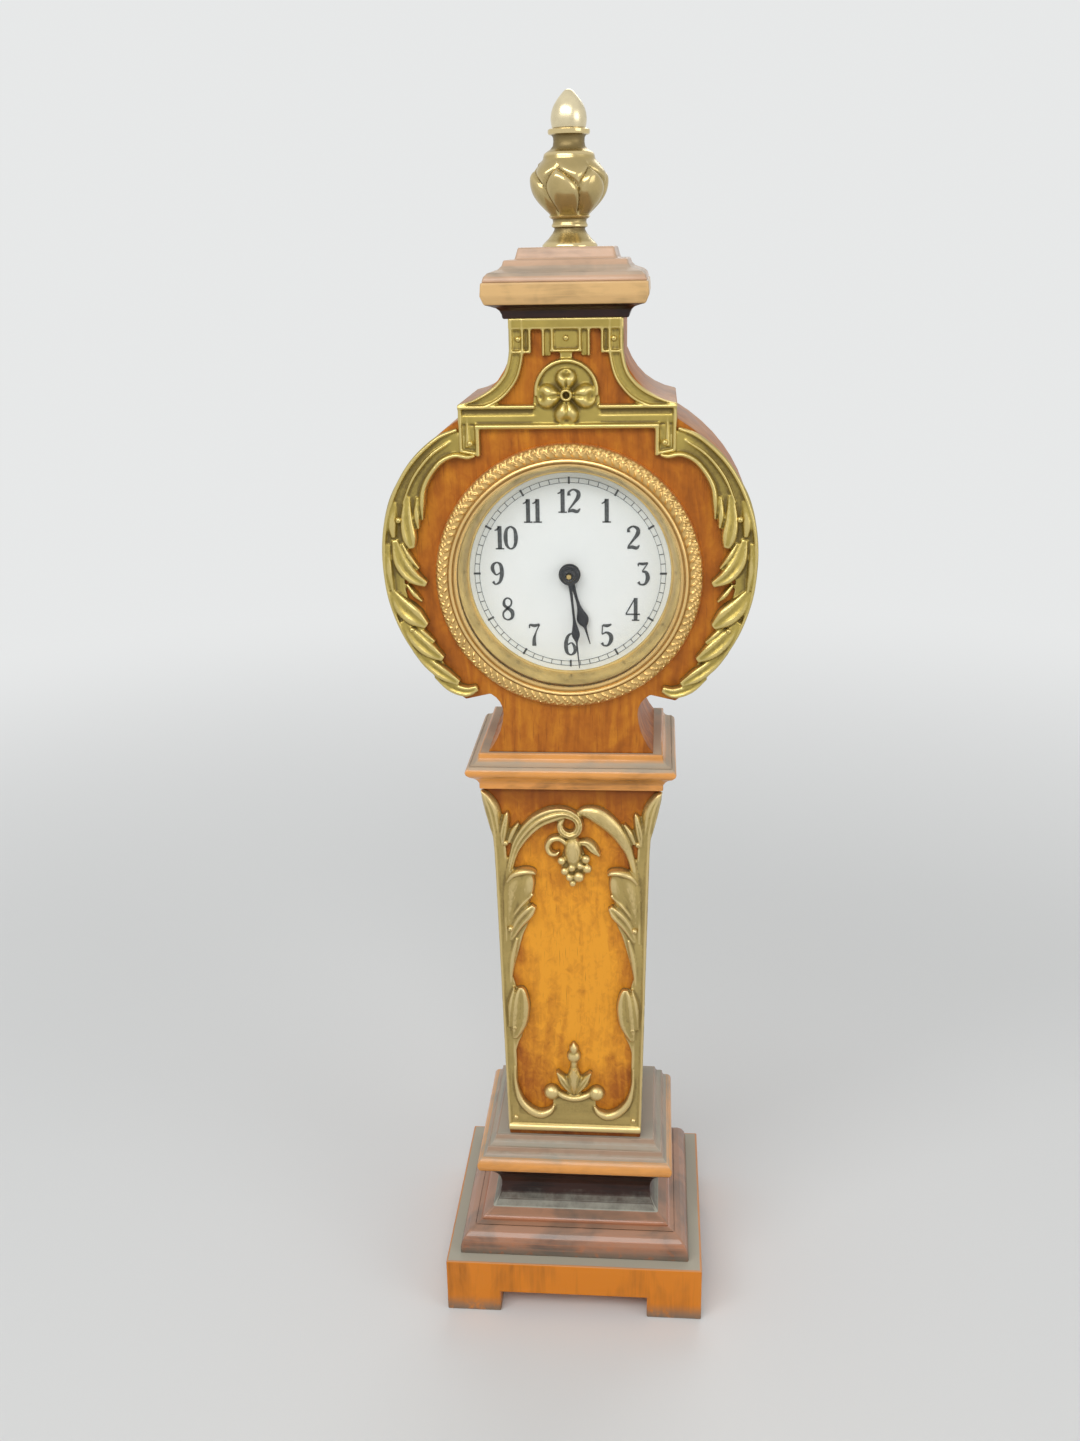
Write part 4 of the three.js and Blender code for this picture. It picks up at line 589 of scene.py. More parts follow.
class Nodes:
    """A node tree and the one way to add to it."""

    def __init__(self, tree):
        self.tree = tree

    def node(self, kind, settings=None, inputs=None, output=0):
        """Adds a node, sets it, fills its sockets and returns one output."""
        node = self.tree.nodes.new(kind)
        for key, value in (settings or {}).items():
            if key == "stops":
                self.fill_ramp(node, value)
            else:
                setattr(node, key, value)
        for key, value in (inputs or {}).items():
            self.feed(node.inputs[key], value)
        return Value(self, node.outputs[output])

    def feed(self, socket, value):
        if isinstance(value, Value):
            self.tree.links.new(value.socket, socket)
        elif socket.type == "RGBA" and len(value) == 3:
            socket.default_value = (*value, 1)
        else:
            socket.default_value = value

    def fill_ramp(self, node, stops):
        elements = node.color_ramp.elements
        while len(elements) < len(stops):
            elements.new(0.5)
        for element, (position, colour) in zip(elements, stops):
            element.position = position
            element.color = (*colour, 1)

    def seen(self):
        """1 for rays from the camera itself, off a shiny surface or through glass, else 0."""
        kinds = ("Is Camera Ray", "Is Glossy Ray", "Is Transmission Ray")
        camera, glossy, clear = (self.node("ShaderNodeLightPath", output=kind) for kind in kinds)
        return (camera + glossy + clear).clamped()


class Finish(Nodes):
    """One material and the nodes that make it."""

    def __init__(self, name):
        self.material = bpy.data.materials.new(PREFIX + name)
        self.material.use_nodes = True
        super().__init__(self.material.node_tree)
        self.shader = self.tree.nodes["Principled BSDF"]
        place = self.node("ShaderNodeTexCoord", output="Object")
        self.place = self.node(
            "ShaderNodeVectorMath", {"operation": "SCALE"}, {0: place, "Scale": 1 / MM}
        )
        self.x, self.y, self.z = (
            self.node("ShaderNodeSeparateXYZ", inputs={0: self.place}, output=axis) for axis in "XYZ"
        )

    def set(self, **values):
        """Sets or links sockets of the main shader, with _ for a space in their names."""
        for key, value in values.items():
            self.feed(self.shader.inputs[key.replace("_", " ")], value)

    def stretched(self, x, y, z):
        """The place on the object, stretched along each axis."""
        return self.node("ShaderNodeVectorMath", {"operation": "MULTIPLY"}, {0: self.place, 1: (x, y, z)})

    def noise(self, place, scale, detail=3.0, roughness=0.55, distortion=0.0):
        return self.node(
            "ShaderNodeTexNoise",
            inputs={
                "Vector": place,
                "Scale": scale,
                "Detail": detail,
                "Roughness": roughness,
                "Distortion": distortion,
            },
            output="Fac",
        )

    def ramp(self, value, *stops):
        return self.node("ShaderNodeValToRGB", {"stops": stops}, {0: value}, "Color")

    def mix(self, factor, first, second):
        return self.node(
            "ShaderNodeMix",
            {"data_type": "RGBA", "clamp_factor": True},
            {0: factor, 6: first, 7: second},
            2,
        )

    def upward(self):
        """How far the surface faces up."""
        normal = self.node("ShaderNodeNewGeometry", output="Normal")
        return self.node("ShaderNodeSeparateXYZ", inputs={0: normal}, output="Z")

    def recess(self):
        return self.node("ShaderNodeAttribute", {"attribute_name": "recess"}, output="Fac")

    def from_axis(self):
        """Distance from the dial's axis."""
        rise = self.z - DIAL_CENTRE
        return (self.x * self.x + rise * rise) ** 0.5

    def bump(self, height, strength, distance):
        """Small relief, with its depth in millimetres."""
        normal = self.node(
            "ShaderNodeBump", inputs={"Strength": strength, "Distance": distance * MM, "Height": height}
        )
        self.set(Normal=normal)


def shaded(colour, share):
    return tuple(c * share for c in colour)


def material(name):
    return bpy.data.materials[PREFIX + name]


def veneer(colours):
    """Figured honey walnut with its grain upright, brighter in the middle of the trunk, with painted shade
    towards the mounts, at the trunk's foot and under its capital.
    """
    finish = Finish("walnut_veneer")
    # Lines to the millimetre across and along the grain, how far they wander, and the bright panel's size
    fine, coarse, sway_width = 0.34, 0.03, 16
    glow_half_width, glow_half_height = 20, 52
    sway = finish.noise(finish.stretched(0.03, 0.03, 0.012), 1.0, 2.0)
    wander = finish.x + (sway - 0.5) * sway_width
    lines = finish.node(
        "ShaderNodeCombineXYZ", inputs={"X": wander * fine, "Y": finish.y * fine, "Z": finish.z * coarse}
    )
    grain = finish.noise(lines, 1.0, 5.0, 0.55, 0.4)
    figure = finish.noise(finish.stretched(0.07, 0.07, 0.05), 1.0, 4.0, 0.55, 1.0)
    burr = finish.noise(finish.stretched(0.42, 0.42, 0.32), 1.0, 3.0, 0.6, 0.8)
    in_trunk = finish.z.step(TRUNK_HIGH.z, TRUNK_HIGH.z - 12)
    in_trunk_top = finish.z.step(TRUNK_HIGH.z + 1, TRUNK_HIGH.z)
    glow_high = ((finish.z - PANEL_GLOW) / glow_half_height).size().step(1.25, 0.25)
    # The lift falls away towards the sides, leaving painted shade along the mount's edges
    middle_lift_and_mount_shade = (finish.x / glow_half_width).size().step(1.1, 0.4)
    lift = 0.47 + glow_high * middle_lift_and_mount_shade * in_trunk * 0.29
    spots = (burr - 0.5) * (0.16 + in_trunk * 0.26)
    tone = (grain - 0.5) * 0.45 + (figure - 0.5) * (0.4 + in_trunk * 0.2) + spots + lift
    body = finish.ramp(
        tone,
        (0.26, colours.panel_dark), (0.46, colours.panel_mid), (0.78, colours.panel_light),
    )
    # Painted shadow in a band just above the trunk's foot, below the mount, and painted shade under the
    # capital
    above_foot = finish.z.step(TRUNK_LOW.z - 1, TRUNK_LOW.z)
    foot = finish.z.step(TRUNK_LOW.z + 5, TRUNK_LOW.z + 1) * above_foot
    brow_shadow = finish.z.step(TRUNK_HIGH.z - 9, TRUNK_HIGH.z - 1) * in_trunk_top
    body = finish.mix((foot * 0.7 + brow_shadow * 0.55).clamped(), body, colours.panel_dark)
    pores = finish.noise(finish.stretched(2.6, 2.6, 0.14), 1.0, 2.0, 0.5).step(0.62, 0.72)
    shade = finish.mix(pores * 0.35, body, colours.panel_dark)
    dust_and_sheen_bloom = finish.upward().step(0.55, 0.95) * 0.3
    colour = finish.mix(dust_and_sheen_bloom, shade, colours.dust)
    wear = finish.noise(finish.place, 0.22, 4.0)
    finish.set(
        Base_Color=colour,
        Roughness=0.32 + wear * 0.2,
        Specular_IOR_Level=0.18,
        Coat_Weight=0.04,
        Coat_Roughness=0.2,
    )
    finish.bump(pores * -0.6 + grain * 0.5, 0.2, 0.05)


def moulding_wood(name, deep, dark, light, colours, dust_and_sheen_share, gloss, darkened_foot):
    """Moulding lighter on its arrises from wear and painted highlight, darker in its quirks from grime and
    painted shade, paler where it faces up from dust and painted sheen, and darker towards a foot where one
    is given.
    """
    finish = Finish(name)
    upright = name == "moulding_orange"
    run, rise = (0.7, 0.05) if upright else (0.05, 0.7)
    grain = finish.noise(finish.stretched(run, run, rise), 1.0, 5.0, 0.6, 0.5)
    spread, climb = (0.09, 0.03) if upright else (0.07, 0.10)
    blotch = finish.noise(finish.stretched(spread, spread, climb), 1.0, 3.0, 0.5, 0.6)
    body = finish.ramp(grain * 0.3 + blotch * 0.7, (0.31, deep), (0.41, dark), (0.53, light))
    recess = finish.recess()
    # Arrises lighter, partly from wear and partly from a painted highlight
    rub_and_highlight = (recess * -1.0 + (blotch - 0.5) * 0.8).step(0.25, 0.9)
    worn = finish.mix(rub_and_highlight * 0.6, body, light)
    # Quirks darker, partly from grime and partly from painted shade
    grime_and_shade = (recess + (grain - 0.5) * 0.5).step(0.15, 0.8) * 0.8
    soiled_and_shaded = finish.mix(grime_and_shade, worn, deep)
    streak = finish.noise(finish.stretched(0.25, 0.25, 0.25), 1.0, 4.0, 0.65)
    # Upward faces paler, partly from dust and partly from a painted sheen of light from above
    dust_and_sheen_bloom = (finish.upward() + (streak - 0.5) * 0.35).step(0.2, 0.8) * (1 - rub_and_highlight * 0.7) * dust_and_sheen_share
    colour = finish.mix(dust_and_sheen_bloom, soiled_and_shaded, colours.dust)
    dull = dust_and_sheen_bloom
    if darkened_foot is not None:
        # Darker and greyer towards the given foot
        darkening_height = 6
        foot_darkening = finish.z.step(darkened_foot + darkening_height, darkened_foot) * streak.step(0.25, 0.5) * 0.85
        colour = finish.mix(foot_darkening, colour, shaded(colours.dust, 0.35))
        dull = (dust_and_sheen_bloom + foot_darkening).clamped()
    finish.set(
        Base_Color=colour,
        Roughness=0.28 + dull * 0.5,
        Specular_IOR_Level=0.3,
        Coat_Weight=(1 - dull) * gloss,
        Coat_Roughness=0.1,
    )
    finish.bump(grain, 0.15, 0.05)


def brass(name, colours, roughness, patina_and_shade_share):
    """Cast brass with patina deepened by painted shade in its recesses, and ridges lightened by wear and
    painted highlight.
    """
    finish = Finish(name)
    colour = getattr(colours, name)
    cloud = finish.noise(finish.place, 0.13, 4.0, 0.6)
    speck = finish.noise(finish.place, 1.6, 3.0, 0.6)
    recess = finish.recess()
    # Recesses darkened, partly by patina and partly by painted shade
    patina_and_shade = ((recess + (speck - 0.5) * 0.4 + (cloud - 0.5) * 0.4).step(0.3, 0.95) * patina_and_shade_share).clamped()
    # Ridges lighter, partly from wear and partly from a painted highlight
    ridge = (recess * -1.0).step(0.1, 0.7)
    light = tuple(min(0.95, c * 1.25 + 0.10) for c in colour)
    body = finish.mix(cloud.step(0.3, 0.72), shaded(colour, 0.82), colour)
    rubbed_and_highlit = finish.mix(ridge * 0.75, body, light)
    shown = finish.mix(patina_and_shade, rubbed_and_highlit, colours.patina)
    finish.set(
        Base_Color=shown,
        Metallic=0.88 - patina_and_shade * 0.45,
        Roughness=roughness + patina_and_shade * 0.25 + (speck - 0.5) * 0.12 - ridge * 0.08,
    )
    finish.bump(speck * 0.7 + cloud * 0.3, 0.12, 0.05)


def machined(name, colours, roughness, rings, grained):
    """Machined metal with fine turning or graining marks."""
    finish = Finish(name)
    colour = getattr(colours, name)
    ring_pace = 9.0
    marks = finish.noise(finish.stretched(0.5, 4.0, 3.0), 1.0, 3.0, 0.6)
    turning = ((finish.from_axis() * ring_pace).sine() * 0.5 + 0.5) * rings
    cloud = finish.noise(finish.place, 0.2, 3.0)
    finish.set(
        Base_Color=finish.mix(cloud.step(0.25, 0.75), shaded(colour, 0.78), colour),
        Metallic=1.0,
        Roughness=roughness + (marks - 0.5) * 0.12 * grained + turning * 0.06,
    )
    finish.bump(marks * 0.6 * grained + turning, 0.08, 0.02)


def enamel(colours):
    """White painted dial, a little greyer towards its edge."""
    finish = Finish("dial_white")
    grey_from, grey_to = 17.0, 29.0
    mottle = finish.noise(finish.place, 0.12, 4.0)
    # Greyer towards the rim as painted shade under the bezel
    edge = finish.from_axis().step(grey_from, grey_to) * 0.55 + mottle * 0.25
    red, green, blue = colours.dial_white
    rim_shade = (red * 0.86, green * 0.90, blue * 0.88)
    finish.set(Base_Color=finish.mix(edge, colours.dial_white, rim_shade), Roughness=0.32 + mottle * 0.1)
    finish.bump(finish.noise(finish.place, 1.2, 2.0), 0.04, 0.02)


def printed(colours):
    """Printed ink, slightly uneven."""
    finish = Finish("printed_ink")
    blot = finish.noise(finish.place, 1.1, 3.0)
    colour = finish.mix(blot.step(0.4, 0.8), colours.ink, shaded(colours.ink, 2.4))
    finish.set(Base_Color=colour, Roughness=0.5)


def blackened(colours):
    """Black hands with paler blots."""
    finish = Finish("blackened_steel")
    blot = finish.noise(finish.place, 0.9, 4.0)
    finish.set(
        Base_Color=finish.mix(blot.step(0.4, 0.8), colours.hand_black, colours.hand_grey),
        Metallic=0.2,
        Roughness=0.34 + blot * 0.15,
    )
    finish.bump(blot, 0.1, 0.02)


def window(colours):
    """Clear dial glass."""
    finish = Finish("dial_glass")
    haze = finish.noise(finish.place, 0.1, 3.0)
    finish.set(
        Base_Color=colours.glass,
        Roughness=0.03,
        IOR=1.45,
        Alpha=0.02 + haze * 0.02,
    )
    finish.material.surface_render_method = "BLENDED"


class CLOCK_OT_finishes(bpy.types.Operator):
    """Makes the woods, metals, dial paint and glass"""

    bl_idname = "clock.finishes"
    bl_label = "Finishes"

    def execute(self, context):
        colours = context.scene.clock_colours
        veneer(colours)
        warm, red, orange = colours.moulding_warm, colours.moulding_dark, colours.plinth_orange
        tan, rosy, light = colours.moulding_tan, colours.moulding_rosy, colours.moulding_light
        ovolo_foot = box_mm("base_ovolo")[0].z
        # Each wood by its deep, dark and light tones, its share of dust and painted sheen, how glossy it
        # is, and the foot that it darkens towards
        woods = (
            ("moulding_orange", shaded(orange, 0.5), shaded(orange, 0.78), orange, 0.95, 0.2, 0.0),
            ("moulding_warm", shaded(warm, 0.2), shaded(warm, 0.62), warm, 0.75, 0.5, None),
            ("moulding_dark", shaded(red, 0.7), shaded(light, 0.55), light, 0.25, 0.7, ovolo_foot),
            ("moulding_tan", shaded(tan, 0.4), shaded(tan, 0.7), tan, 0.35, 0.2, None),
            ("moulding_rosy", shaded(rosy, 0.35), shaded(rosy, 0.65), rosy, 0.45, 0.2, None),
            ("moulding_russet", shaded(rosy, 0.1), shaded(rosy, 0.3), shaded(rosy, 0.6), 0.8, 0.4, None),
            # Near-black tones paint the shade in the scotia's hollow and the cornice's cove, and their
            # dust and painted sheen pale the scotia's lower slope
            ("moulding_black", shaded(red, 0.07), shaded(red, 0.14), shaded(red, 0.32), 0.95, 0.1, None),
        )
        for name, deep, dark, pale, dust_and_sheen_share, gloss, darkened_foot in woods:
            moulding_wood(name, deep, dark, pale, colours, dust_and_sheen_share, gloss, darkened_foot)
        # Each cast brass by its roughness and how much patina and painted shade its recesses hold
        brasses = (
            ("brass_antique", 0.44, 0.65),
            ("brass_lacquered", 0.40, 0.85),
            ("brass_rosy", 0.36, 0.8),
            ("brass_polished", 0.24, 0.75),
        )
        for name, roughness, patina_and_shade_share in brasses:
            brass(name, colours, roughness, patina_and_shade_share)
        # Each machined metal by its roughness, its turned rings and its graining
        metals = (
            ("brass_movement", 0.30, 0.3, 1.0),
            ("brass_spun", 0.28, 0.05, 0.1),
            ("steel_bright", 0.28, 0.0, 1.0),
            ("nickel", 0.28, 0.0, 0.4),
        )
        for name, roughness, rings, grained in metals:
            machined(name, colours, roughness, rings, grained)
        for make in (enamel, printed, blackened, window):
            make(colours)
        return {"FINISHED"}


# Wooden case


class CLOCK_OT_case(bpy.types.Operator):
    """Wears the edges of the wooden blocks and mouldings"""

    bl_idname = "clock.case"
    bl_label = "Wooden Case"

    panels = ("trunk", "head_case")
    mouldings = (
        ("plinth", "moulding_orange"),
        ("base_ovolo", "moulding_dark"),
        # The scotia's hollow is painted dark as shade under the bead
        ("base_scotia", "moulding_black"),
        ("base_bead", "moulding_warm"),
        ("trunk_capital", "moulding_warm"),
        ("cornice", "moulding_tan"),
        ("cap_top", "moulding_rosy"),
    )
    # Parts of a moulding, from and to a height above its foot, that have a tone of their own
    second_tones = (
        ("base_scotia", 0, 2.4, "moulding_dark"),
        ("base_bead", 4.6, 11, "moulding_russet"),
        # The cornice's cove is painted black as shade under the fascia
        ("cornice", 0, 3.6, "moulding_black"),
    )
    wear_width = 0.45

    def execute(self, context):
        edge = context.scene.clock_sizes.worn_edge
        for node in self.panels:
            piece = refined(node, edge)
            finish_piece(piece, "walnut_veneer", "case", "wood_panel", node)
        for node, look in self.mouldings:
            piece = refined(node, edge)
            inset_broad_faces(piece, self.wear_width * MM)
            mark_recesses(piece, fine=1, broad=3)
            finish_piece(piece, look, "case", "wood_moulding", node)
            for toned, low, high, tone in self.second_tones:
                if toned == node:
                    self.tone_band(piece, low * MM, high * MM, material(tone))
        return {"FINISHED"}

    def tone_band(self, piece, low, high, tone):
        """Gives the faces between two heights above the foot another tone."""
        piece.data.materials.append(tone)
        foot = min(v.co.z for v in piece.data.vertices)
        for face in piece.data.polygons:
            if low < face.center.z - foot < high:
                face.material_index = 1


# Brass mounts


class CLOCK_OT_trunk_mount(bpy.types.Operator):
    """Casts the pierced vine mount on the front of the trunk"""

    bl_idname = "clock.trunk_mount"
    bl_label = "Trunk Mount"

    field_outer = 20.9
    field_relief = 0.75
    grape_lift = 2.0
    ball_lift = 0.4
    # Paths of (x, height above the mount's foot, half width, relief), on the right where they are paired
    edge = [
        (18.9, 0.2, 1.8, 0.9), (19.4, 25, 1.8, 0.9), (19.9, 50, 1.8, 0.9), (20.4, 75, 1.8, 0.95),
        (20.9, 95, 1.8, 1.0), (21.8, 103, 1.6, 1.1), (23.2, 109, 1.4, 1.2), (25.6, 113.8, 0.4, 1.1),
    ]
    edge_bead = [
        (20.2, 0.5, 0.45, 1.3), (20.7, 25, 0.45, 1.3), (21.2, 50, 0.45, 1.3), (21.7, 75, 0.45, 1.35),
        (22.2, 95, 0.45, 1.4), (22.9, 103, 0.4, 1.5),
    ]
    corner_leaf = [
        (21.3, 96.5, 0.8, 1.2), (22.0, 103, 1.9, 2.0), (22.9, 108.5, 2.3, 2.5), (24.6, 112.6, 1.5, 2.5),
        (26.0, 114.5, 0.3, 2.0),
    ]
    bud = [
        (20.2, 97.4, 0.6, 1.4), (19.8, 101.4, 1.5, 2.4), (18.9, 106.2, 1.1, 2.4),
        (18.5, 108.0, 0.3, 1.8),
    ]
    twig = [(18.4, 98.2, 0.8, 1.5), (17.0, 101.8, 1.0, 2.1), (15.3, 104.6, 0.4, 1.8)]
    horn = [
        (1.2, 107.4, 0.5, 1.6), (4.0, 108.2, 1.8, 2.4), (7.2, 107.5, 2.6, 2.9), (10.3, 105.3, 2.6, 2.9),
        (13.1, 102.3, 2.3, 2.7), (15.4, 98.7, 1.9, 2.4), (17.0, 94.6, 1.25, 1.9), (18.5, 88, 1.0, 1.7),
        (19.6, 79, 0.7, 1.5), (19.8, 66, 0.4, 1.2),
    ]
    vine = [
        (-19.8, 66, 0.4, 1.2), (-19.6, 79, 0.7, 1.5), (-18.5, 88, 1.0, 1.7), (-17.0, 94.6, 1.3, 1.9),
        (-15.3, 98.8, 1.9, 2.4), (-12.6, 102.6, 2.3, 2.7), (-9.4, 105.5, 2.5, 2.9),
        (-5.6, 107.3, 2.5, 3.1), (-1.8, 108.0, 1.9, 3.1), (1.2, 106.7, 1.5, 3.2),
        (2.3, 104.2, 1.3, 3.2), (1.4, 101.9, 1.3, 3.1), (-0.8, 101.2, 1.25, 3.0),
        (-2.8, 102.4, 1.2, 2.8), (-3.2, 104.4, 1.0, 2.5), (-2.2, 106.0, 0.6, 2.0),
    ]
    grape_bud = [
        (0.3, 101.2, 0.8, 1.8), (0.4, 98.0, 2.5, 3.1), (0.5, 94.0, 2.7, 3.2), (0.6, 91.0, 1.0, 2.4),
    ]
    bunch = [(0.4, 96, 3.0, 1.3), (0.8, 91, 3.9, 1.6), (0.9, 88, 2.7, 1.5), (0.4, 85.6, 0.5, 1.2)]
    left_curl = [
        (-1.6, 98.4, 0.9, 2.0), (-3.6, 99.9, 1.1, 2.3), (-5.8, 99.5, 1.1, 2.5), (-7.0, 97.5, 1.1, 2.6),
        (-6.3, 95.4, 1.0, 2.7), (-4.6, 95.0, 0.8, 2.5), (-3.5, 95.9, 0.3, 2.0),
    ]
    right_leaf = [
        (2.4, 98.6, 0.9, 2.0), (4.6, 98.4, 1.6, 2.5), (6.4, 96.6, 1.7, 2.8), (8.3, 94.6, 0.5, 2.3),
    ]
    grapes = (
        (-2.9, 93.2, 1.3), (4.2, 93.8, 1.35), (0.1, 91.0, 1.25), (4.6, 90.8, 1.45), (-2.0, 89.9, 1.3),
        (2.1, 88.2, 1.75), (2.5, 91.6, 1.1), (-0.6, 87.9, 1.2), (0.3, 86.0, 1.05),
    )
    # Inner edges of the flat fields as (height, x)
    upper_edge = [
        (46, 19.0), (55, 18.0), (63, 16.2), (69, 14.6), (74, 12.8), (79, 13.4), (84, 12.9),
        (88.2, 12.4),
    ]
    lower_edge = [
        (22, 18.2), (27, 17.9), (31.5, 16.9), (36, 15.2), (42, 15.0), (46, 15.9), (50, 17.1),
        (55, 18.4),
    ]
    corner_edge = [(4.5, 12.0), (7.5, 15.2), (11, 17.0), (15, 17.8), (20, 18.1), (24, 18.2)]
    upper_leaf = [
        (18.2, 71, 1.4, 1.2), (17.0, 76, 2.8, 1.9), (15.6, 81.5, 3.9, 2.5), (14.7, 86, 4.0, 2.7),
        (14.3, 89.2, 2.9, 2.4),
    ]
    upper_roll = [
        (19.2, 85.6, 0.6, 1.8), (17.2, 88.2, 1.1, 3.0), (14.2, 89.5, 1.2, 3.4), (11.6, 89.4, 1.0, 3.1),
        (10.5, 88.6, 0.5, 2.4),
    ]
    upper_fold = [(18.2, 73.5, 0.4, 1.5), (14.9, 78.6, 0.7, 2.6), (11.5, 82.2, 0.6, 2.4)]
    upper_lobe = [
        (18.6, 66.5, 0.8, 1.1), (16.0, 72, 1.7, 2.1), (13.0, 76, 1.9, 3.0), (11.2, 78.2, 0.9, 2.4),
    ]
    stalk = [(19.0, 52, 0.5, 1.0), (18.2, 60, 1.0, 1.4), (16.6, 67, 0.5, 1.3)]
    lower_leaf = [
        (18.0, 33, 0.9, 1.2), (16.6, 38.4, 2.6, 2.2), (15.9, 44.6, 2.9, 2.9), (15.7, 49, 1.9, 2.8),
        (15.8, 50.9, 0.8, 2.2),
    ]
    lower_bud = [(19.5, 37, 0.6, 1.3), (18.8, 45, 1.2, 2.4), (17.8, 50.8, 0.3, 1.7)]
    foot_scroll = [
        (18.3, 23, 0.3, 1.2), (18.0, 16.5, 0.7, 1.7), (16.6, 11.2, 1.15, 2.3), (13.7, 7.7, 1.45, 2.6),
        (10.4, 6.4, 1.5, 2.6), (7.6, 7.5, 1.1, 2.4), (6.2, 9.6, 0.35, 1.6),
    ]
    garland = [
        (6.4, 15.2, 0.9, 1.9), (3.4, 13.2, 1.1, 2.3), (0, 12.4, 1.15, 2.4), (-3.4, 13.2, 1.1, 2.3),
        (-6.4, 15.2, 0.9, 1.9),
    ]
    volutes = ((6.9, 14.2, 2.6), (-6.9, 14.2, 2.6))
    cup_petal = [(0.7, 14.0, 0.8, 1.6), (2.9, 18.0, 1.9, 2.6), (5.2, 22.0, 0.5, 2.7)]
    cup_keel = [(0, 13.8, 0.8, 1.7), (0, 18.0, 2.4, 3.1), (0, 23.2, 1.3, 3.1)]
    cup_neck = [(0, 22.4, 1.1, 2.0), (0, 25.8, 1.2, 2.2)]
    cup_ball = (0, 27.2, 2.25)
    cup_bud = [(0, 28.4, 1.0, 2.2), (0, 30.3, 1.45, 2.5), (0, 32.2, 0.25, 1.6)]
    cup_field = [(-6.6, 9.4, 4.6, 0.8), (6.6, 9.4, 4.6, 0.8)]
    foot_field = [(-20.6, 3.2, 3.2, 0.8), (20.6, 3.2, 3.2, 0.8)]
    foot_bead = [(-20.6, 1.3, 1.25, 1.9), (20.6, 1.3, 1.25, 1.9)]

    def field(self, inner):
        """A flat field between its inner edge and the side of the mount."""
        path = []
        for height, x in inner:
            middle, half = (self.field_outer + x) / 2, (self.field_outer - x) / 2
            path.append((middle, height, half, self.field_relief))
        return path

    def execute(self, context):
        # Rows of (path, section, steps)
        single = (
            (self.vine, reeded, 110),
            (self.horn, round_stem, 70),
            (self.grape_bud, soft_lobe, 26),
            (self.bunch, flat_strip, 20),
            (self.left_curl, soft_lobe, 40),
            (self.right_leaf, folded_leaf, 26),
            (self.garland, round_stem, 30),
            (self.cup_keel, keeled_leaf, 24),
            (self.cup_neck, round_stem, 12),
            (self.cup_bud, round_stem, 16),
            (self.cup_field, flat_strip, 20),
            (self.foot_field, flat_strip, 40),
            (self.foot_bead, round_stem, 40),
        )
        pairs = (
            (self.edge, flat_strip, 60),
            (self.edge_bead, round_stem, 60),
            (self.corner_leaf, folded_leaf, 30),
            (self.bud, folded_leaf, 20),
            (self.twig, soft_lobe, 16),
            (self.field(self.upper_edge), flat_strip, 50),
            (self.field(self.lower_edge), flat_strip, 40),
            (self.field(self.corner_edge), flat_strip, 30),
            (self.upper_leaf, broad_leaf, 40),
            (self.upper_roll, soft_lobe, 30),
            (self.upper_fold, soft_lobe, 24),
            (self.upper_lobe, broad_leaf, 30),
            (self.stalk, soft_lobe, 24),
            (self.lower_leaf, broad_leaf, 34),
            (self.lower_bud, soft_lobe, 24),
            (self.foot_scroll, round_stem, 44),
            (self.cup_petal, folded_leaf, 20),
        )
        strips = relief_strips(single, MOUNT_FOOT) + relief_strips(pairs, MOUNT_FOOT, (1, -1))
        balls = [ball(x, z + MOUNT_FOOT, radius, self.grape_lift) for x, z, radius in self.grapes]
        for x, z, radius in (*self.volutes, self.cup_ball):
            balls.append(ball(x, z + MOUNT_FOOT, radius, self.ball_lift))
        piece = casting("trunk_mount_cast", strips, TRUNK_FRONT, balls)
        finish_piece(piece, "brass_antique", "case", "brass_antique", "trunk_mount")
        return {"FINISHED"}


def arc(radius, turn_from, turn_to, count, z, half, relief):
    """A path along an arc about a height, with its turns in degrees clockwise from straight up."""
    path = []
    for i in range(count + 1):
        turn = math.radians(turn_from + (turn_to - turn_from) * i / count)
        path.append((radius * math.sin(turn), z + radius * math.cos(turn), half, relief))
    return path


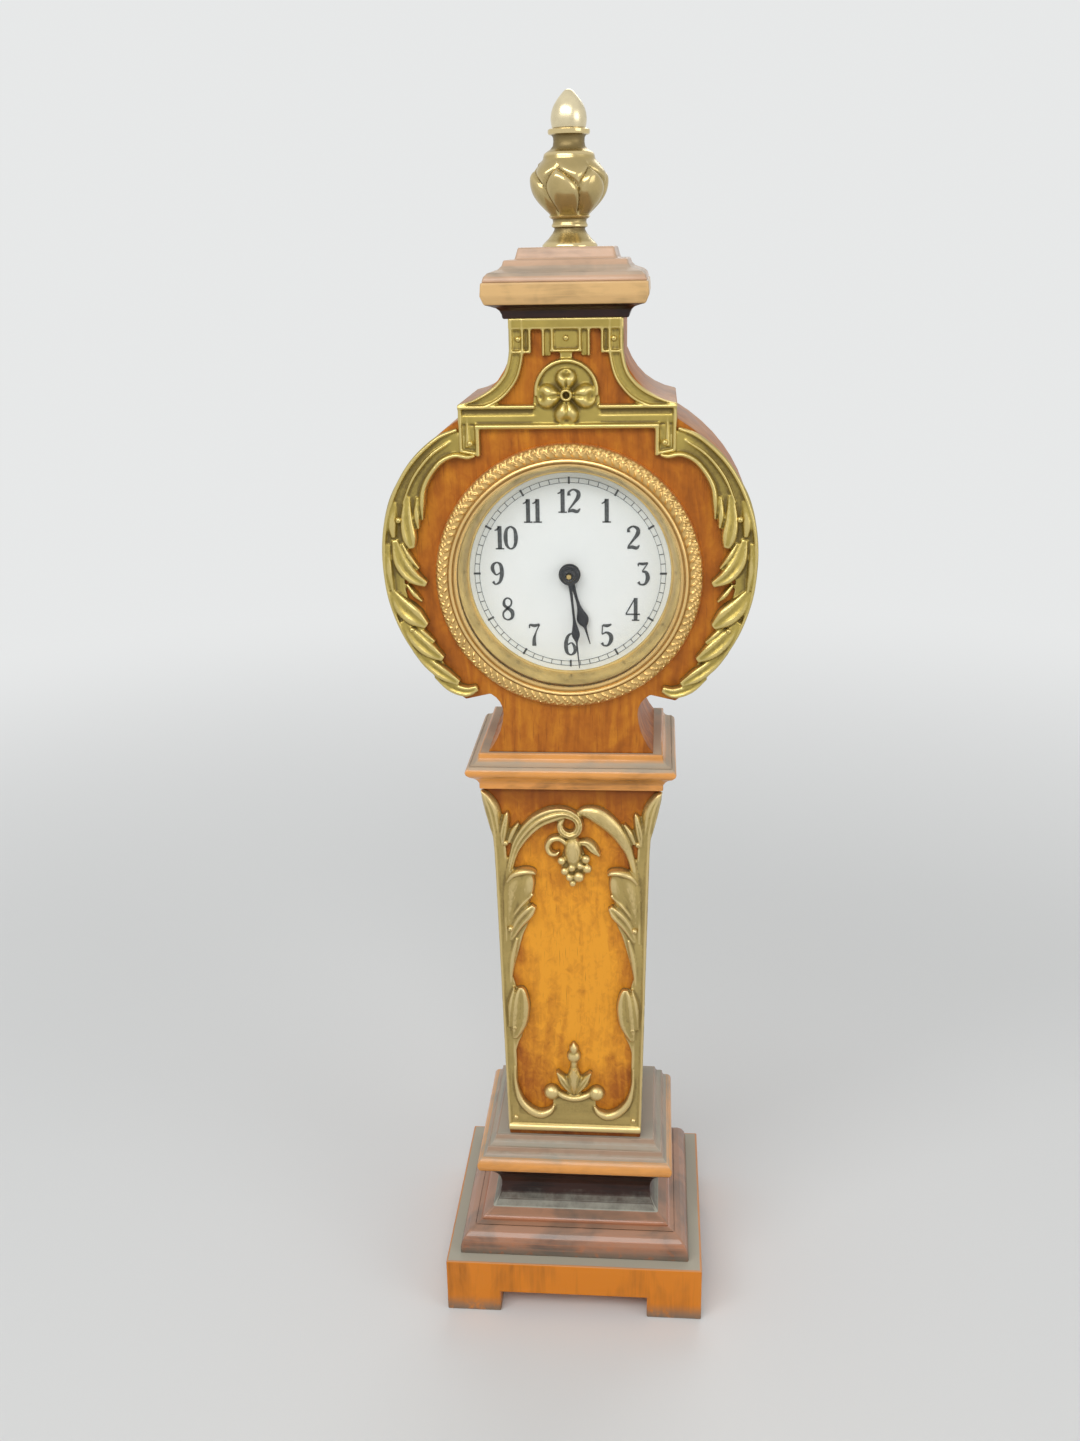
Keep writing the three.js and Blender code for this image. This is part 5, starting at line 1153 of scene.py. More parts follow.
class CLOCK_OT_pediment(bpy.types.Operator):
    """Casts the pediment mount: architrave, swept sides, key pattern and rosette"""

    bl_idname = "clock.pediment"
    bl_label = "Pediment Mount"

    # Heights are above the centre of the dial
    sweep = [
        (12.85, 68.4, 2.05, 1.9), (12.85, 60.5, 2.05, 1.9), (14.0, 54.9, 2.05, 1.9),
        (16.2, 51.4, 2.05, 1.9), (18.9, 49.0, 2.05, 1.9), (22.2, 47.4, 1.7, 1.9),
        (25.4, 46.6, 1.0, 1.8), (28.7, 46.3, 0.5, 1.7),
    ]
    half_span = 28.9
    architrave = (40.1, 46.7)
    ear_inner = 23.0
    ear_foot = 33.6
    arch_half = 8.7
    arch_foot = 41.6
    arch_spring = 49.75
    arch_relief = 1.15
    rosette_height = 49.1
    # Turn from straight up and size of each petal
    petals = ((0, 0.86), (94, 1.0), (180, 1.0), (266, 1.0))
    # Reach from the centre, half width and relief along one petal
    petal = (
        (1.4, 1.0, 3.0), (2.8, 2.4, 3.6), (4.6, 3.3, 3.9), (6.3, 3.1, 3.7), (7.4, 2.2, 3.2),
        (8.0, 0.8, 2.6),
    )
    # Flat bars of (left, right, foot, top, relief)
    key_bars = (
        (-14.9, 14.9, 65.7, 68.5, 1.7), (-4.1, 4.1, 60.2, 66.0, 0.9), (-6.3, -4.0, 58.9, 66.0, 0.9),
        (4.0, 6.3, 58.9, 66.0, 0.9), (-14.9, -9.4, 60.2, 66.0, 0.9), (9.4, 14.9, 60.2, 66.0, 0.9),
        (-1.6, 1.6, 57.4, 60.4, 1.2),
    )
    # Raised round rims of the key pattern, as lines of (x, height)
    key_rims = (
        ((-3.6, 66.0), (-3.6, 60.2)),
        ((3.6, 66.0), (3.6, 60.2)),
        ((-4.1, 60.3), (4.1, 60.3)),
        ((-9.4, 66.4), (-9.4, 59.6)),
        ((9.4, 66.4), (9.4, 59.6)),
        ((-9.4, 60.0), (-14.0, 60.0)),
        ((9.4, 60.0), (14.0, 60.0)),
        ((-5.9, 65.6), (-5.9, 58.9)),
        ((5.9, 65.6), (5.9, 58.9)),
        ((-14.6, 66.0), (14.6, 66.0)),
        ((-14.6, 68.2), (14.6, 68.2)),
    )

    def arch_plate(self):
        """A flat plate with a round top behind the rosette."""
        path = [(0, self.arch_foot, self.arch_half, self.arch_relief)]
        for rise in (0.0, 0.3, 0.55, 0.75, 0.9, 0.98, 1.0):
            half = self.arch_half * math.sqrt(1 - rise**2)
            path.append((0, self.arch_spring + self.arch_half * rise, half, self.arch_relief))
        return relief_strips([(path, flat_strip, 40)], DIAL_CENTRE, columns=24)

    def rosette(self):
        """Petals round an eye."""
        centre = DIAL_CENTRE + self.rosette_height
        strips = [strip(arc(1.25, 0, 360, 12, centre, 0.6, 3.3), round_stem, 40, 8)]
        for degrees, size in self.petals:
            turn = math.radians(degrees)
            out = Vector((math.sin(turn), math.cos(turn))) * size
            path = []
            for reach, half, relief in self.petal:
                path.append((out.x * reach, centre + out.y * reach, half * size, relief))
            strips.append(strip(path, cupped_petal, 30, 22))
        return strips

    def ear(self):
        """The dropped end of the architrave: a field, its bead and its bevelled outer rim."""
        low, high = self.architrave
        inner, outer, foot = self.ear_inner, self.half_span, self.ear_foot
        middle, half = (inner + outer) / 2, (outer - inner) / 2
        bead, rim = inner + 0.75, outer - 0.6
        return (
            ([(middle, foot, half, 0.8), (middle, low + 1, half, 0.8)], flat_strip, 24),
            ([(bead, foot - 0.4, 0.75, 1.9), (bead, low + 1.4, 0.75, 1.9)], round_stem, 24),
            ([(rim, foot + 0.8, 0.6, 1.6), (rim, high - 0.8, 0.6, 1.6)], round_stem, 24),
            ([(inner + 0.5, foot + 0.1, 0.6, 1.5), (outer - 0.4, foot + 1.0, 0.6, 1.5)], round_stem, 24),
            ([(middle + 0.5, foot + 2.0, 1.2, 1.5), (middle + 0.5, low + 3, 0.5, 1.2)], keeled_leaf, 24),
        )

    def execute(self, context):
        base = DIAL_CENTRE
        low, high = self.architrave
        span, bead_end, arch = self.half_span, self.ear_inner + 1.4, self.arch_half
        # Runs of the architrave as (left, right, foot, top, relief, section)
        runs = (
            (-span, span, low + 0.2, high - 0.1, 0.6, flat_strip),
            (-bead_end, bead_end, low, low + 1.7, 2.0, round_stem),
            (-span, span, low + 1.6, low + 3.9, 1.05, flat_strip),
            (-span, -arch + 0.4, high - 1.4, high, 1.9, round_stem),
            (arch - 0.4, span, high - 1.4, high, 1.9, round_stem),
        )
        strips = [bar(x0, x1, base + z0, base + z1, *rest, 60, 12) for x0, x1, z0, z1, *rest in runs]
        strips.extend(self.arch_plate())
        rim = arc(arch - 0.7, -96, 96, 14, base + self.arch_spring, 0.7, 2.1)
        strips.append(strip(rim, round_stem, 60, 8))
        for x0, x1, z0, z1, relief in self.key_bars:
            strips.append(bar(x0, x1, base + z0, base + z1, relief, flat_strip, 8, 8))
        rims = []
        for (x0, z0), (x1, z1) in self.key_rims:
            rims.append(([(x0, z0, 0.5, 1.75), (x1, z1, 0.5, 1.75)], round_stem, 20))
        strips.extend(relief_strips(rims, base, columns=8))
        strips.extend(relief_strips(self.ear(), base, (1, -1), columns=12))
        strips.extend(relief_strips([(self.sweep, beaded_strip, 60)], base, (1, -1), columns=20))
        strips.extend(self.rosette())
        piece = casting("pediment_mount_cast", strips, HEAD_FRONT)
        finish_piece(piece, "brass_lacquered", "case", "brass_lacquered", "pediment_mount")
        return {"FINISHED"}


class CLOCK_OT_scrolls(bpy.types.Operator):
    """Casts the left and right acanthus scrolls on the head"""

    bl_idname = "clock.scrolls"
    bl_label = "Acanthus Scrolls"

    # Paths of the right scroll, with heights above the centre of the dial
    band = [
        (27.0, 36.6, 2.4, 0.9), (30.6, 36.6, 2.9, 1.0), (34.6, 34.4, 3.1, 1.0), (38.6, 30.8, 3.3, 1.0),
        (42.0, 26.0, 3.6, 1.0), (44.6, 20.2, 4.1, 1.0), (46.6, 13.4, 3.9, 0.9), (48.0, 6.6, 2.9, 0.8),
        (48.0, 0.6, 2.8, 0.8), (47.4, -4.8, 2.7, 0.8), (45.2, -11.2, 2.8, 0.8), (42.2, -17.4, 2.6, 0.8),
        (38.6, -22.8, 2.2, 0.8), (35.0, -27.8, 1.8, 0.8), (31.0, -31.0, 1.0, 0.8),
    ]
    rim = [
        (29.2, 40.2, 0.5, 1.6), (34.2, 38.2, 0.6, 1.9), (39.2, 34.2, 0.7, 2.0), (43.2, 29.6, 0.7, 2.0),
        (46.6, 23.6, 0.7, 2.0), (49.2, 16.4, 0.7, 1.9), (50.4, 9.0, 0.65, 1.9), (50.4, 1.5, 0.6, 1.9),
        (49.3, -6.5, 0.6, 1.8), (46.3, -15.2, 0.6, 1.8), (41.6, -23.2, 0.5, 1.7),
        (35.8, -29.8, 0.4, 1.5),
    ]
    ridge = [
        (24.6, 33.4, 0.5, 1.5), (26.6, 33.0, 0.8, 2.2), (30.0, 33.5, 0.85, 2.5), (33.6, 32.0, 0.9, 2.6),
        (36.6, 28.7, 0.95, 2.7), (38.6, 24.9, 1.0, 2.8), (39.2, 21.0, 1.0, 2.9), (39.3, 16.2, 0.3, 2.2),
    ]
    middle_rib = [
        (31.0, 37.2, 0.4, 1.4), (36.6, 33.4, 0.6, 1.7), (41.4, 27.6, 0.6, 1.8), (44.6, 20.6, 0.4, 1.7),
    ]
    small_lobes = (
        [(40.6, 22.4, 0.6, 1.6), (40.9, 17.4, 1.1, 2.4), (40.6, 13.8, 0.5, 2.0)],
        [(47.0, 21.0, 0.9, 1.4), (47.8, 15.4, 1.5, 2.1), (47.6, 11.4, 0.9, 1.9)],
        [(45.4, 9.8, 0.5, 1.5), (43.3, 6.0, 0.9, 2.4), (40.9, 2.8, 0.4, 2.0)],
        [(44.6, -1.6, 0.5, 1.5), (42.4, -4.4, 0.9, 2.4), (40.4, -6.4, 0.4, 2.0)],
        [(43.0, -12.6, 0.5, 1.5), (40.0, -15.6, 0.9, 2.4), (37.4, -17.8, 0.4, 2.0)],
        [(49.4, 9.4, 0.8, 1.3), (49.4, 2.2, 1.3, 1.9), (48.4, -4.6, 0.6, 1.5)],
    )
    broad_lobes = (
        [(43.4, 22.6, 0.9, 1.5), (43.7, 16.2, 1.9, 2.6), (43.1, 11.6, 2.2, 3.2), (42.5, 8.6, 1.1, 2.6)],
        [(47.4, 10.6, 1.0, 1.4), (45.8, 4.8, 2.3, 2.5), (42.8, 0.8, 2.2, 3.2), (39.0, -1.5, 1.0, 2.6)],
        [(48.8, -3.6, 1.0, 1.4), (46.2, -7.6, 2.7, 2.4), (42.7, -10.6, 2.9, 3.3), (39.4, -13.2, 1.2, 2.7)],
        [
            (46.4, -12.2, 0.9, 1.4), (42.7, -16.8, 2.3, 2.5), (38.9, -20.2, 2.4, 3.2),
            (35.2, -22.7, 1.0, 2.6),
        ],
        [
            (43.4, -20.4, 0.8, 1.4), (39.2, -24.2, 1.9, 2.4), (34.8, -27.4, 2.0, 3.0),
            (31.0, -29.7, 1.0, 2.5),
        ],
        [
            (37.8, -28.0, 0.7, 1.3), (33.4, -31.0, 1.6, 2.3), (29.0, -32.2, 1.7, 2.9),
            (25.8, -31.2, 1.0, 2.4),
        ],
    )

    def execute(self, context):
        rows = [
            (self.band, flat_strip, 90),
            (self.rim, round_stem, 80),
            (self.ridge, soft_lobe, 60),
            (self.middle_rib, round_stem, 40),
        ]
        rows.extend((lobe, soft_lobe, 26) for lobe in self.small_lobes)
        rows.extend((lobe, broad_leaf, 34) for lobe in self.broad_lobes)
        for side, name in ((1, "right"), (-1, "left")):
            strips = relief_strips(rows, DIAL_CENTRE, (side,))
            piece = casting(f"scroll_mount_{name}_cast", strips, HEAD_FRONT)
            finish_piece(piece, "brass_lacquered", "case", "brass_lacquered", f"scroll_mount_{name}")
        return {"FINISHED"}


class CLOCK_OT_pins(bpy.types.Operator):
    """Sets the round-headed pins that hold the mounts"""

    bl_idname = "clock.pins"
    bl_label = "Mount Pins"

    # Places on the right or in the middle, as (x, height, relief of the casting there), with heights
    # above the centre of the dial on the head and above the mount's foot on the trunk
    head_pins = (
        (25.8, 36.6, 1.5), (45.9, 16.2, 2.0), (43.6, -14.5, 1.8), (0.0, 63.4, 0.9), (12.4, 63.2, 1.1),
    )
    trunk_pins = (
        (19.3, 98.0, 1.1), (18.4, 70.4, 1.6), (17.9, 37.0, 1.4), (18.3, 4.6, 0.9),
    )

    def pin(self, x, y, z, radius):
        """A round head with a flat rim under it, pushed into the casting."""
        rim = radius * 1.12
        profile = [
            (rim * 0.9, 1.0), (rim, 0.1), (rim, -0.05), (radius * 0.96, -0.16), (radius * 0.8, -0.38),
            (radius * 0.5, -0.54), (radius * 0.2, -0.6), (radius * 0.02, -0.61),
        ]
        return moved(turned("pin", profile, 20, across=True), (x, y, z - DIAL_CENTRE))

    def execute(self, context):
        radius = context.scene.clock_sizes.pin_radius / MM
        groups = (
            ("head_pins", self.head_pins, HEAD_FRONT, DIAL_CENTRE, "brass_lacquered"),
            ("trunk_pins", self.trunk_pins, TRUNK_FRONT, MOUNT_FOOT, "brass_antique"),
        )
        for name, places, front, base, slot in groups:
            pins = []
            for x, z, relief in places:
                for side in (1, -1) if x else (1,):
                    pins.append(self.pin(side * x, front - relief, base + z, radius))
            piece = joined(name, pins)
            mark_recesses(piece, fine=1, broad=4)
            complete(piece, 50, slot, "case", slot)
        return {"FINISHED"}


# Finial


class CLOCK_OT_finial(bpy.types.Operator):
    """Turns and chases the urn and its acorn"""

    bl_idname = "clock.finial"
    bl_label = "Finial"

    sides = 192
    lobes = 6
    twist = 22
    leaf_depth = 1.15
    # Shares of the bowl's height where a petal begins to narrow and ends, and how pointed it is
    petal_spring, petal_top, petal_point = 0.42, 0.84, 1.7
    # Width of the fold between petals, how far it runs past their tops, and the rise of their middles
    fold_width, fold_end, crown_share = 0.17, 0.2, 0.3
    # Shares of the bowl's height in which the relief fades out
    fade_low, fade_high = 0.08, 0.1
    # Profiles of (radius, height above the foot of the piece)
    foot = [
        (0.05, 0.0), (7.4, 0.0), (7.4, 0.4), (6.9, 1.0), (5.8, 2.0), (4.7, 3.3), (4.1, 4.3), (4.1, 4.7),
        (4.75, 5.0), (4.85, 5.4), (4.6, 5.8), (4.45, 6.3), (4.55, 6.9), (5.2, 7.2), (5.5, 7.6),
        (5.2, 8.0),
    ]
    mouth = [
        (7.0, 21.6), (6.85, 22.0), (6.75, 22.5), (6.6, 23.1), (5.9, 23.6), (4.9, 24.2), (4.25, 25.0),
        (4.1, 26.0), (4.15, 27.0), (4.5, 27.6), (5.4, 27.8), (5.55, 28.3), (5.5, 28.9), (4.9, 29.25),
        (0.05, 29.28),
    ]
    bowl = [(5.2, 8.0), (6.1, 9.0), (8.2, 11.2), (9.6, 13.5), (10.2, 16.5), (9.65, 18.6), (7.0, 21.6)]
    acorn = [
        (0.05, 0.05), (4.4, 0.05), (4.65, 1.3), (4.72, 2.4), (4.5, 3.9), (3.95, 5.4), (3.0, 6.9),
        (2.0, 8.1), (1.0, 9.1), (0.05, 9.45),
    ]

    def leaf_relief(self, turn, rise):
        """Lift of the broad petals that wrap the bowl: pointed tops, round flanks and sharp folds."""
        wave = (turn / (2 * math.pi) + rise * self.twist / 360) * self.lobes % 1.0
        side = abs(2 * wave - 1)
        climb = (rise - self.petal_spring) / (self.petal_top - self.petal_spring)
        outline = 1 - min(1.0, max(0.0, climb)) ** self.petal_point
        fold = math.exp(-abs(side - outline) / self.fold_width)
        if climb > 1:
            fold *= max(0.0, 1 - (climb - 1) / self.fold_end)
        crown = self.crown_share * max(0.0, 1 - (side / max(0.05, outline)) ** 2)
        fade = min(1.0, rise / self.fade_low, (1 - rise) / self.fade_high)
        return fade * self.leaf_depth * (crown - fold)

    def execute(self, context):
        bowl = [tuple(p) for p in smooth_line(self.bowl, 36)]
        low, high = self.bowl[0][1], self.bowl[-1][1]
        urn = turned("finial_urn_chased", [*self.foot, *bowl[1:-1], *self.mouth], self.sides)
        for vertex in urn.data.vertices:
            rise = (vertex.co.z - low) / (high - low)
            if 0 < rise < 1:
                turn = math.atan2(vertex.co.y, vertex.co.x)
                radius = math.hypot(vertex.co.x, vertex.co.y)
                grow = 1 + self.leaf_relief(turn, rise) / radius
                vertex.co.x *= grow
                vertex.co.y *= grow
        urn.location.z = box_mm("finial_urn")[0].z
        mark_recesses(urn, fine=3, broad=16)
        complete(urn, 50, "brass_polished", "case", "brass_polished", "finial_urn")
        acorn = [self.acorn[0], *[tuple(p) for p in smooth_line(self.acorn[1:], 40)]]
        tip = turned("finial_acorn_turned", acorn, 96)
        tip.location.z = box_mm("finial_acorn")[0].z
        mark_recesses(tip, fine=6, broad=40)
        complete(tip, 60, "nickel", "case", "nickel", "finial_acorn")
        return {"FINISHED"}


# Bezel, dial and hands


class CLOCK_OT_bezel(bpy.types.Operator):
    """Turns the bezel, chases its leaf band and fits the conical sight ring"""

    bl_idname = "clock.bezel"
    bl_label = "Bezel"

    sides = 1216
    band_rows = 14
    band_relief = 0.5
    band_width = 3.15
    band_crown = 1.35
    band_edge = 0.25
    seat_gap = 0.2
    glass_gap = 0.08
    # Cosine and sine of the leaves' slant, and how fast the band fades to its edges
    slant_cos, slant_sin = 0.75, 0.66
    edge_fade = 7
    # Leaves of one group: share across the band, offset along it, half length and width in mm, slant
    leaves = (
        (0.72, 0.0, 0.72, 0.30, 1), (0.30, 0.40, 0.80, 0.30, -1), (0.52, 0.72, 0.42, 0.24, 1),
        (0.86, 0.52, 0.34, 0.22, -1),
    )

    def chasing(self, turn, across, motifs):
        """Lift of the slanted leaves at a turn and a share across the band."""
        run = turn / (2 * math.pi) * motifs
        pitch = 2 * math.pi * BEZEL_RADIUS / motifs
        lift = 0.0
        for row, (centre, offset, reach, width, slant) in enumerate(self.leaves):
            gap = (run - offset + 0.5) % 1.0 - 0.5
            motif = round(run - offset - gap)
            wobble = 0.5 * math.sin(2.7 * motif + 1.9 * row)
            u = gap * pitch
            v = (across - centre - 0.05 * wobble) * self.band_width
            along = self.slant_cos * v - self.slant_sin * slant * u
            aside = self.slant_sin * v + self.slant_cos * slant * u
            blob = math.exp(-((along / reach) ** 2) - (aside / width) ** 2)
            lift = max(lift, blob * (1 + 0.3 * wobble))
        return lift * min(1.0, self.edge_fade * across, self.edge_fade * (1 - across))

    def execute(self, context):
        motifs = context.scene.clock_sizes.bezel_motifs
        front, back = front_back("bezel")
        outer = BEZEL_RADIUS
        band_out = outer - self.band_edge
        band_in = band_out - self.band_width
        band = []
        for row in range(self.band_rows + 1):
            t = row / self.band_rows
            crown = self.band_crown * math.sin(math.pi * (0.08 + 0.52 * t))
            band.append((band_out - self.band_width * t, back - 1.4 - crown))
        band_end = band[-1][1]
        seat = radius_mm("glass") + self.seat_gap
        glass = front_back("glass")[0] - self.glass_gap
        profile = [
            (seat, back), (outer, back), (outer, back - 0.9),
            *band,
            (band_in - 0.12, band_end + 0.3), (band_in - 0.3, band_end + 0.25),
            (band_in - 0.4, front + 0.5), (band_in - 0.6, front + 0.12), (band_in - 0.9, front),
            (band_in - 1.2, front + 0.12), (band_in - 1.4, front + 0.5), (band_in - 1.5, front + 1.2),
            (band_in - 1.7, front + 1.25), (band_in - 1.85, front + 0.9), (band_in - 2.2, front + 0.85),
            (band_in - 2.45, front + 1.1), (band_in - 2.6, glass), (seat, glass), (seat, back),
        ]
        piece = turned("bezel_chased", profile, self.sides, across=True)
        for vertex in piece.data.vertices:
            rise = vertex.co.z - DIAL_CENTRE
            share = (math.hypot(vertex.co.x, rise) - band_in) / self.band_width
            if 0.001 < share < 0.999 and vertex.co.y < back - 1.2:
                turn = math.atan2(rise, vertex.co.x) % (2 * math.pi)
                vertex.co.y -= self.band_relief * self.chasing(turn, share, motifs)
        mark_recesses(piece, fine=2, broad=8)
        complete(piece, 40, "brass_rosy", "case", "brass_rosy", "bezel")
        self.sight_ring()
        return {"FINISHED"}

    def sight_ring(self):
        top, foot = front_back("sight_ring")
        outer = radius_mm("sight_ring")
        inner = DIAL_HIGH.x - 3.0
        profile = [
            (outer, top), (outer - 0.5, top), (outer - 0.8, top + 0.5), (outer - 1.5, top + 2.2),
            (inner + 0.5, foot - 0.7), (inner + 0.15, foot - 0.6), (inner, foot - 0.25), (inner, foot),
            (inner + 1.4, foot), (outer, top),
        ]
        piece = turned("sight_ring_spun", profile, 160, across=True)
        complete(piece, 40, "brass_spun", "case", "brass_rosy", "sight_ring")


class CLOCK_OT_dial(bpy.types.Operator):
    """Prints the numerals and the minute track on the dial"""

    bl_idname = "clock.dial"
    bl_label = "Dial"

    ink_thickness = 0.15
    dial_hole = 2.0
    # The two rings of the minute track, and its marks by their reach and half width
    ring_gap, ring_half = 0.65, 0.04
    hour_mark = (0.95, 0.26)
    minute_mark = (0.62, 0.075)
    # Pen strokes of each numeral as (x, height, half thickness), as shares of its height
    strokes = {
        "0": [
            [
                (0, 0.98, 0.03), (-0.17, 0.84, 0.06), (-0.22, 0.5, 0.085), (-0.17, 0.16, 0.06),
                (0, 0.02, 0.03), (0.17, 0.16, 0.06), (0.22, 0.5, 0.085), (0.17, 0.84, 0.06),
                (0, 0.98, 0.03),
            ],
        ],
        "1": [
            [(0.02, 0.0, 0.085), (0.02, 0.99, 0.085)],
            [(-0.19, 0.80, 0.02), (-0.07, 0.86, 0.035), (0.0, 0.97, 0.05)],
            [(-0.16, 0.02, 0.025), (0.20, 0.02, 0.025)],
        ],
        "2": [
            [
                (-0.20, 0.72, 0.07), (-0.20, 0.86, 0.05), (-0.02, 0.97, 0.035), (0.18, 0.86, 0.075),
                (0.18, 0.66, 0.085), (0.0, 0.40, 0.05), (-0.22, 0.12, 0.03),
            ],
            [(-0.25, 0.05, 0.045), (-0.06, 0.09, 0.07), (0.14, 0.05, 0.065), (0.26, 0.17, 0.02)],
        ],
        "3": [
            [(-0.20, 0.82, 0.025), (-0.18, 0.93, 0.04), (0.0, 0.92, 0.06), (0.20, 0.96, 0.035)],
            [(0.20, 0.95, 0.022), (-0.03, 0.61, 0.022)],
            [
                (-0.04, 0.60, 0.03), (0.14, 0.54, 0.07), (0.20, 0.30, 0.09), (0.09, 0.06, 0.05),
                (-0.10, 0.03, 0.035), (-0.20, 0.14, 0.065),
            ],
        ],
        "4": [
            [(0.11, 0.0, 0.08), (0.11, 0.99, 0.08)],
            [(0.07, 0.97, 0.025), (-0.30, 0.30, 0.025)],
            [(-0.31, 0.28, 0.028), (0.29, 0.28, 0.028)],
            [(-0.05, 0.02, 0.025), (0.27, 0.02, 0.025)],
        ],
        "5": [
            [(-0.16, 0.93, 0.045), (0.04, 0.91, 0.065), (0.21, 0.97, 0.03)],
            [(-0.17, 0.93, 0.025), (-0.19, 0.54, 0.025)],
            [
                (-0.19, 0.52, 0.02), (0.0, 0.61, 0.045), (0.18, 0.48, 0.085), (0.19, 0.25, 0.085),
                (0.06, 0.04, 0.045), (-0.11, 0.03, 0.035), (-0.20, 0.14, 0.065),
            ],
        ],
        "6": [
            [
                (0.19, 0.85, 0.06), (0.08, 0.97, 0.03), (-0.11, 0.85, 0.06), (-0.20, 0.5, 0.085),
                (-0.16, 0.15, 0.07), (0.0, 0.02, 0.03), (0.17, 0.13, 0.065), (0.19, 0.33, 0.075),
                (0.05, 0.55, 0.03), (-0.12, 0.47, 0.03),
            ],
        ],
        "7": [
            [(-0.22, 0.79, 0.022), (-0.19, 0.93, 0.04), (0.0, 0.90, 0.065), (0.22, 0.96, 0.035)],
            [(0.22, 0.95, 0.025), (0.06, 0.60, 0.03), (-0.02, 0.30, 0.07), (-0.02, 0.0, 0.09)],
        ],
        "8": [
            [
                (0.02, 0.53, 0.05), (-0.15, 0.67, 0.065), (-0.14, 0.88, 0.045), (0, 0.98, 0.03),
                (0.15, 0.88, 0.035), (0.14, 0.68, 0.035), (0.0, 0.55, 0.05),
            ],
            [
                (-0.02, 0.55, 0.06), (0.18, 0.38, 0.085), (0.18, 0.13, 0.06), (0, 0.02, 0.03),
                (-0.18, 0.12, 0.035), (-0.19, 0.34, 0.04), (0.0, 0.54, 0.05),
            ],
        ],
    }
    narrow, wide = 0.40, 0.58

    def digit(self, mark, left, foot, size):
        """Strips of one digit; a 9 is a 6 turned over."""
        flip = mark == "9"
        strips = []
        for stroke in self.strokes["6" if flip else mark]:
            path = []
            for x, rise, half in stroke:
                if flip:
                    x, rise = -x, 1 - rise
                path.append((left + x * size, foot + rise * size, half * size, self.ink_thickness))
            steps = 8 if len(path) < 3 else 6 * len(path)
            strips.append(strip(path, level, steps, 2))
        return strips

    def numeral(self, text, x, z, size):
        widths = [self.narrow if mark == "1" else self.wide for mark in text]
        left = x - sum(widths) * size / 2
        strips = []
        for mark, width in zip(text, widths):
            strips.extend(self.digit(mark, left + width * size / 2, z - size / 2, size))
            left += width * size
        return strips

    def numerals(self, sizes):
        circle, size = sizes.numeral_circle / MM, sizes.numeral_height / MM
        strips = []
        for hour in range(1, 13):
            turn = math.radians(30 * hour)
            x, z = circle * math.sin(turn), DIAL_CENTRE + circle * math.cos(turn)
            strips.extend(self.numeral(str(hour), x, z, size))
        return strips

    def track(self, sizes):
        radius = sizes.track_radius / MM
        strips = []
        for ring in (radius - self.ring_gap, radius + self.ring_gap):
            path = arc(ring, 0, 360, 60, DIAL_CENTRE, self.ring_half, self.ink_thickness)
            strips.append(strip(path, level, 240, 1))
        for minute in range(60):
            turn = math.radians(6 * minute)
            out = Vector((math.sin(turn), math.cos(turn)))
            reach, half = self.hour_mark if minute % 5 == 0 else self.minute_mark
            path = []
            for offset in (-reach, reach):
                place = out * (radius + offset)
                path.append((place.x, DIAL_CENTRE + place.y, half, self.ink_thickness))
            strips.append(strip(path, level, 1, 1))
        return strips

    def print_on_dial(self, name, strips):
        piece = backed(joined(name, strips))
        piece.location.y = DIAL_LOW.y
        to_metres(piece)
        finish_piece(piece, "printed_ink", "case", "steel_black")

    def execute(self, context):
        sizes = context.scene.clock_sizes
        self.print_on_dial("dial_numerals", self.numerals(sizes))
        self.print_on_dial("dial_minute_track", self.track(sizes))
        hole, outer = self.dial_hole, DIAL_HIGH.x
        front, back = DIAL_LOW.y, DIAL_HIGH.y
        profile = [
            (hole, back), (outer, back), (outer, front + 0.15), (outer - 0.15, front),
            (hole + 0.2, front), (hole, front + 0.2), (hole, back),
        ]
        dial = turned("dial_painted", profile, 160, across=True)
        complete(dial, 30, "dial_white", "case", "dial_white", "dial")
        return {"FINISHED"}


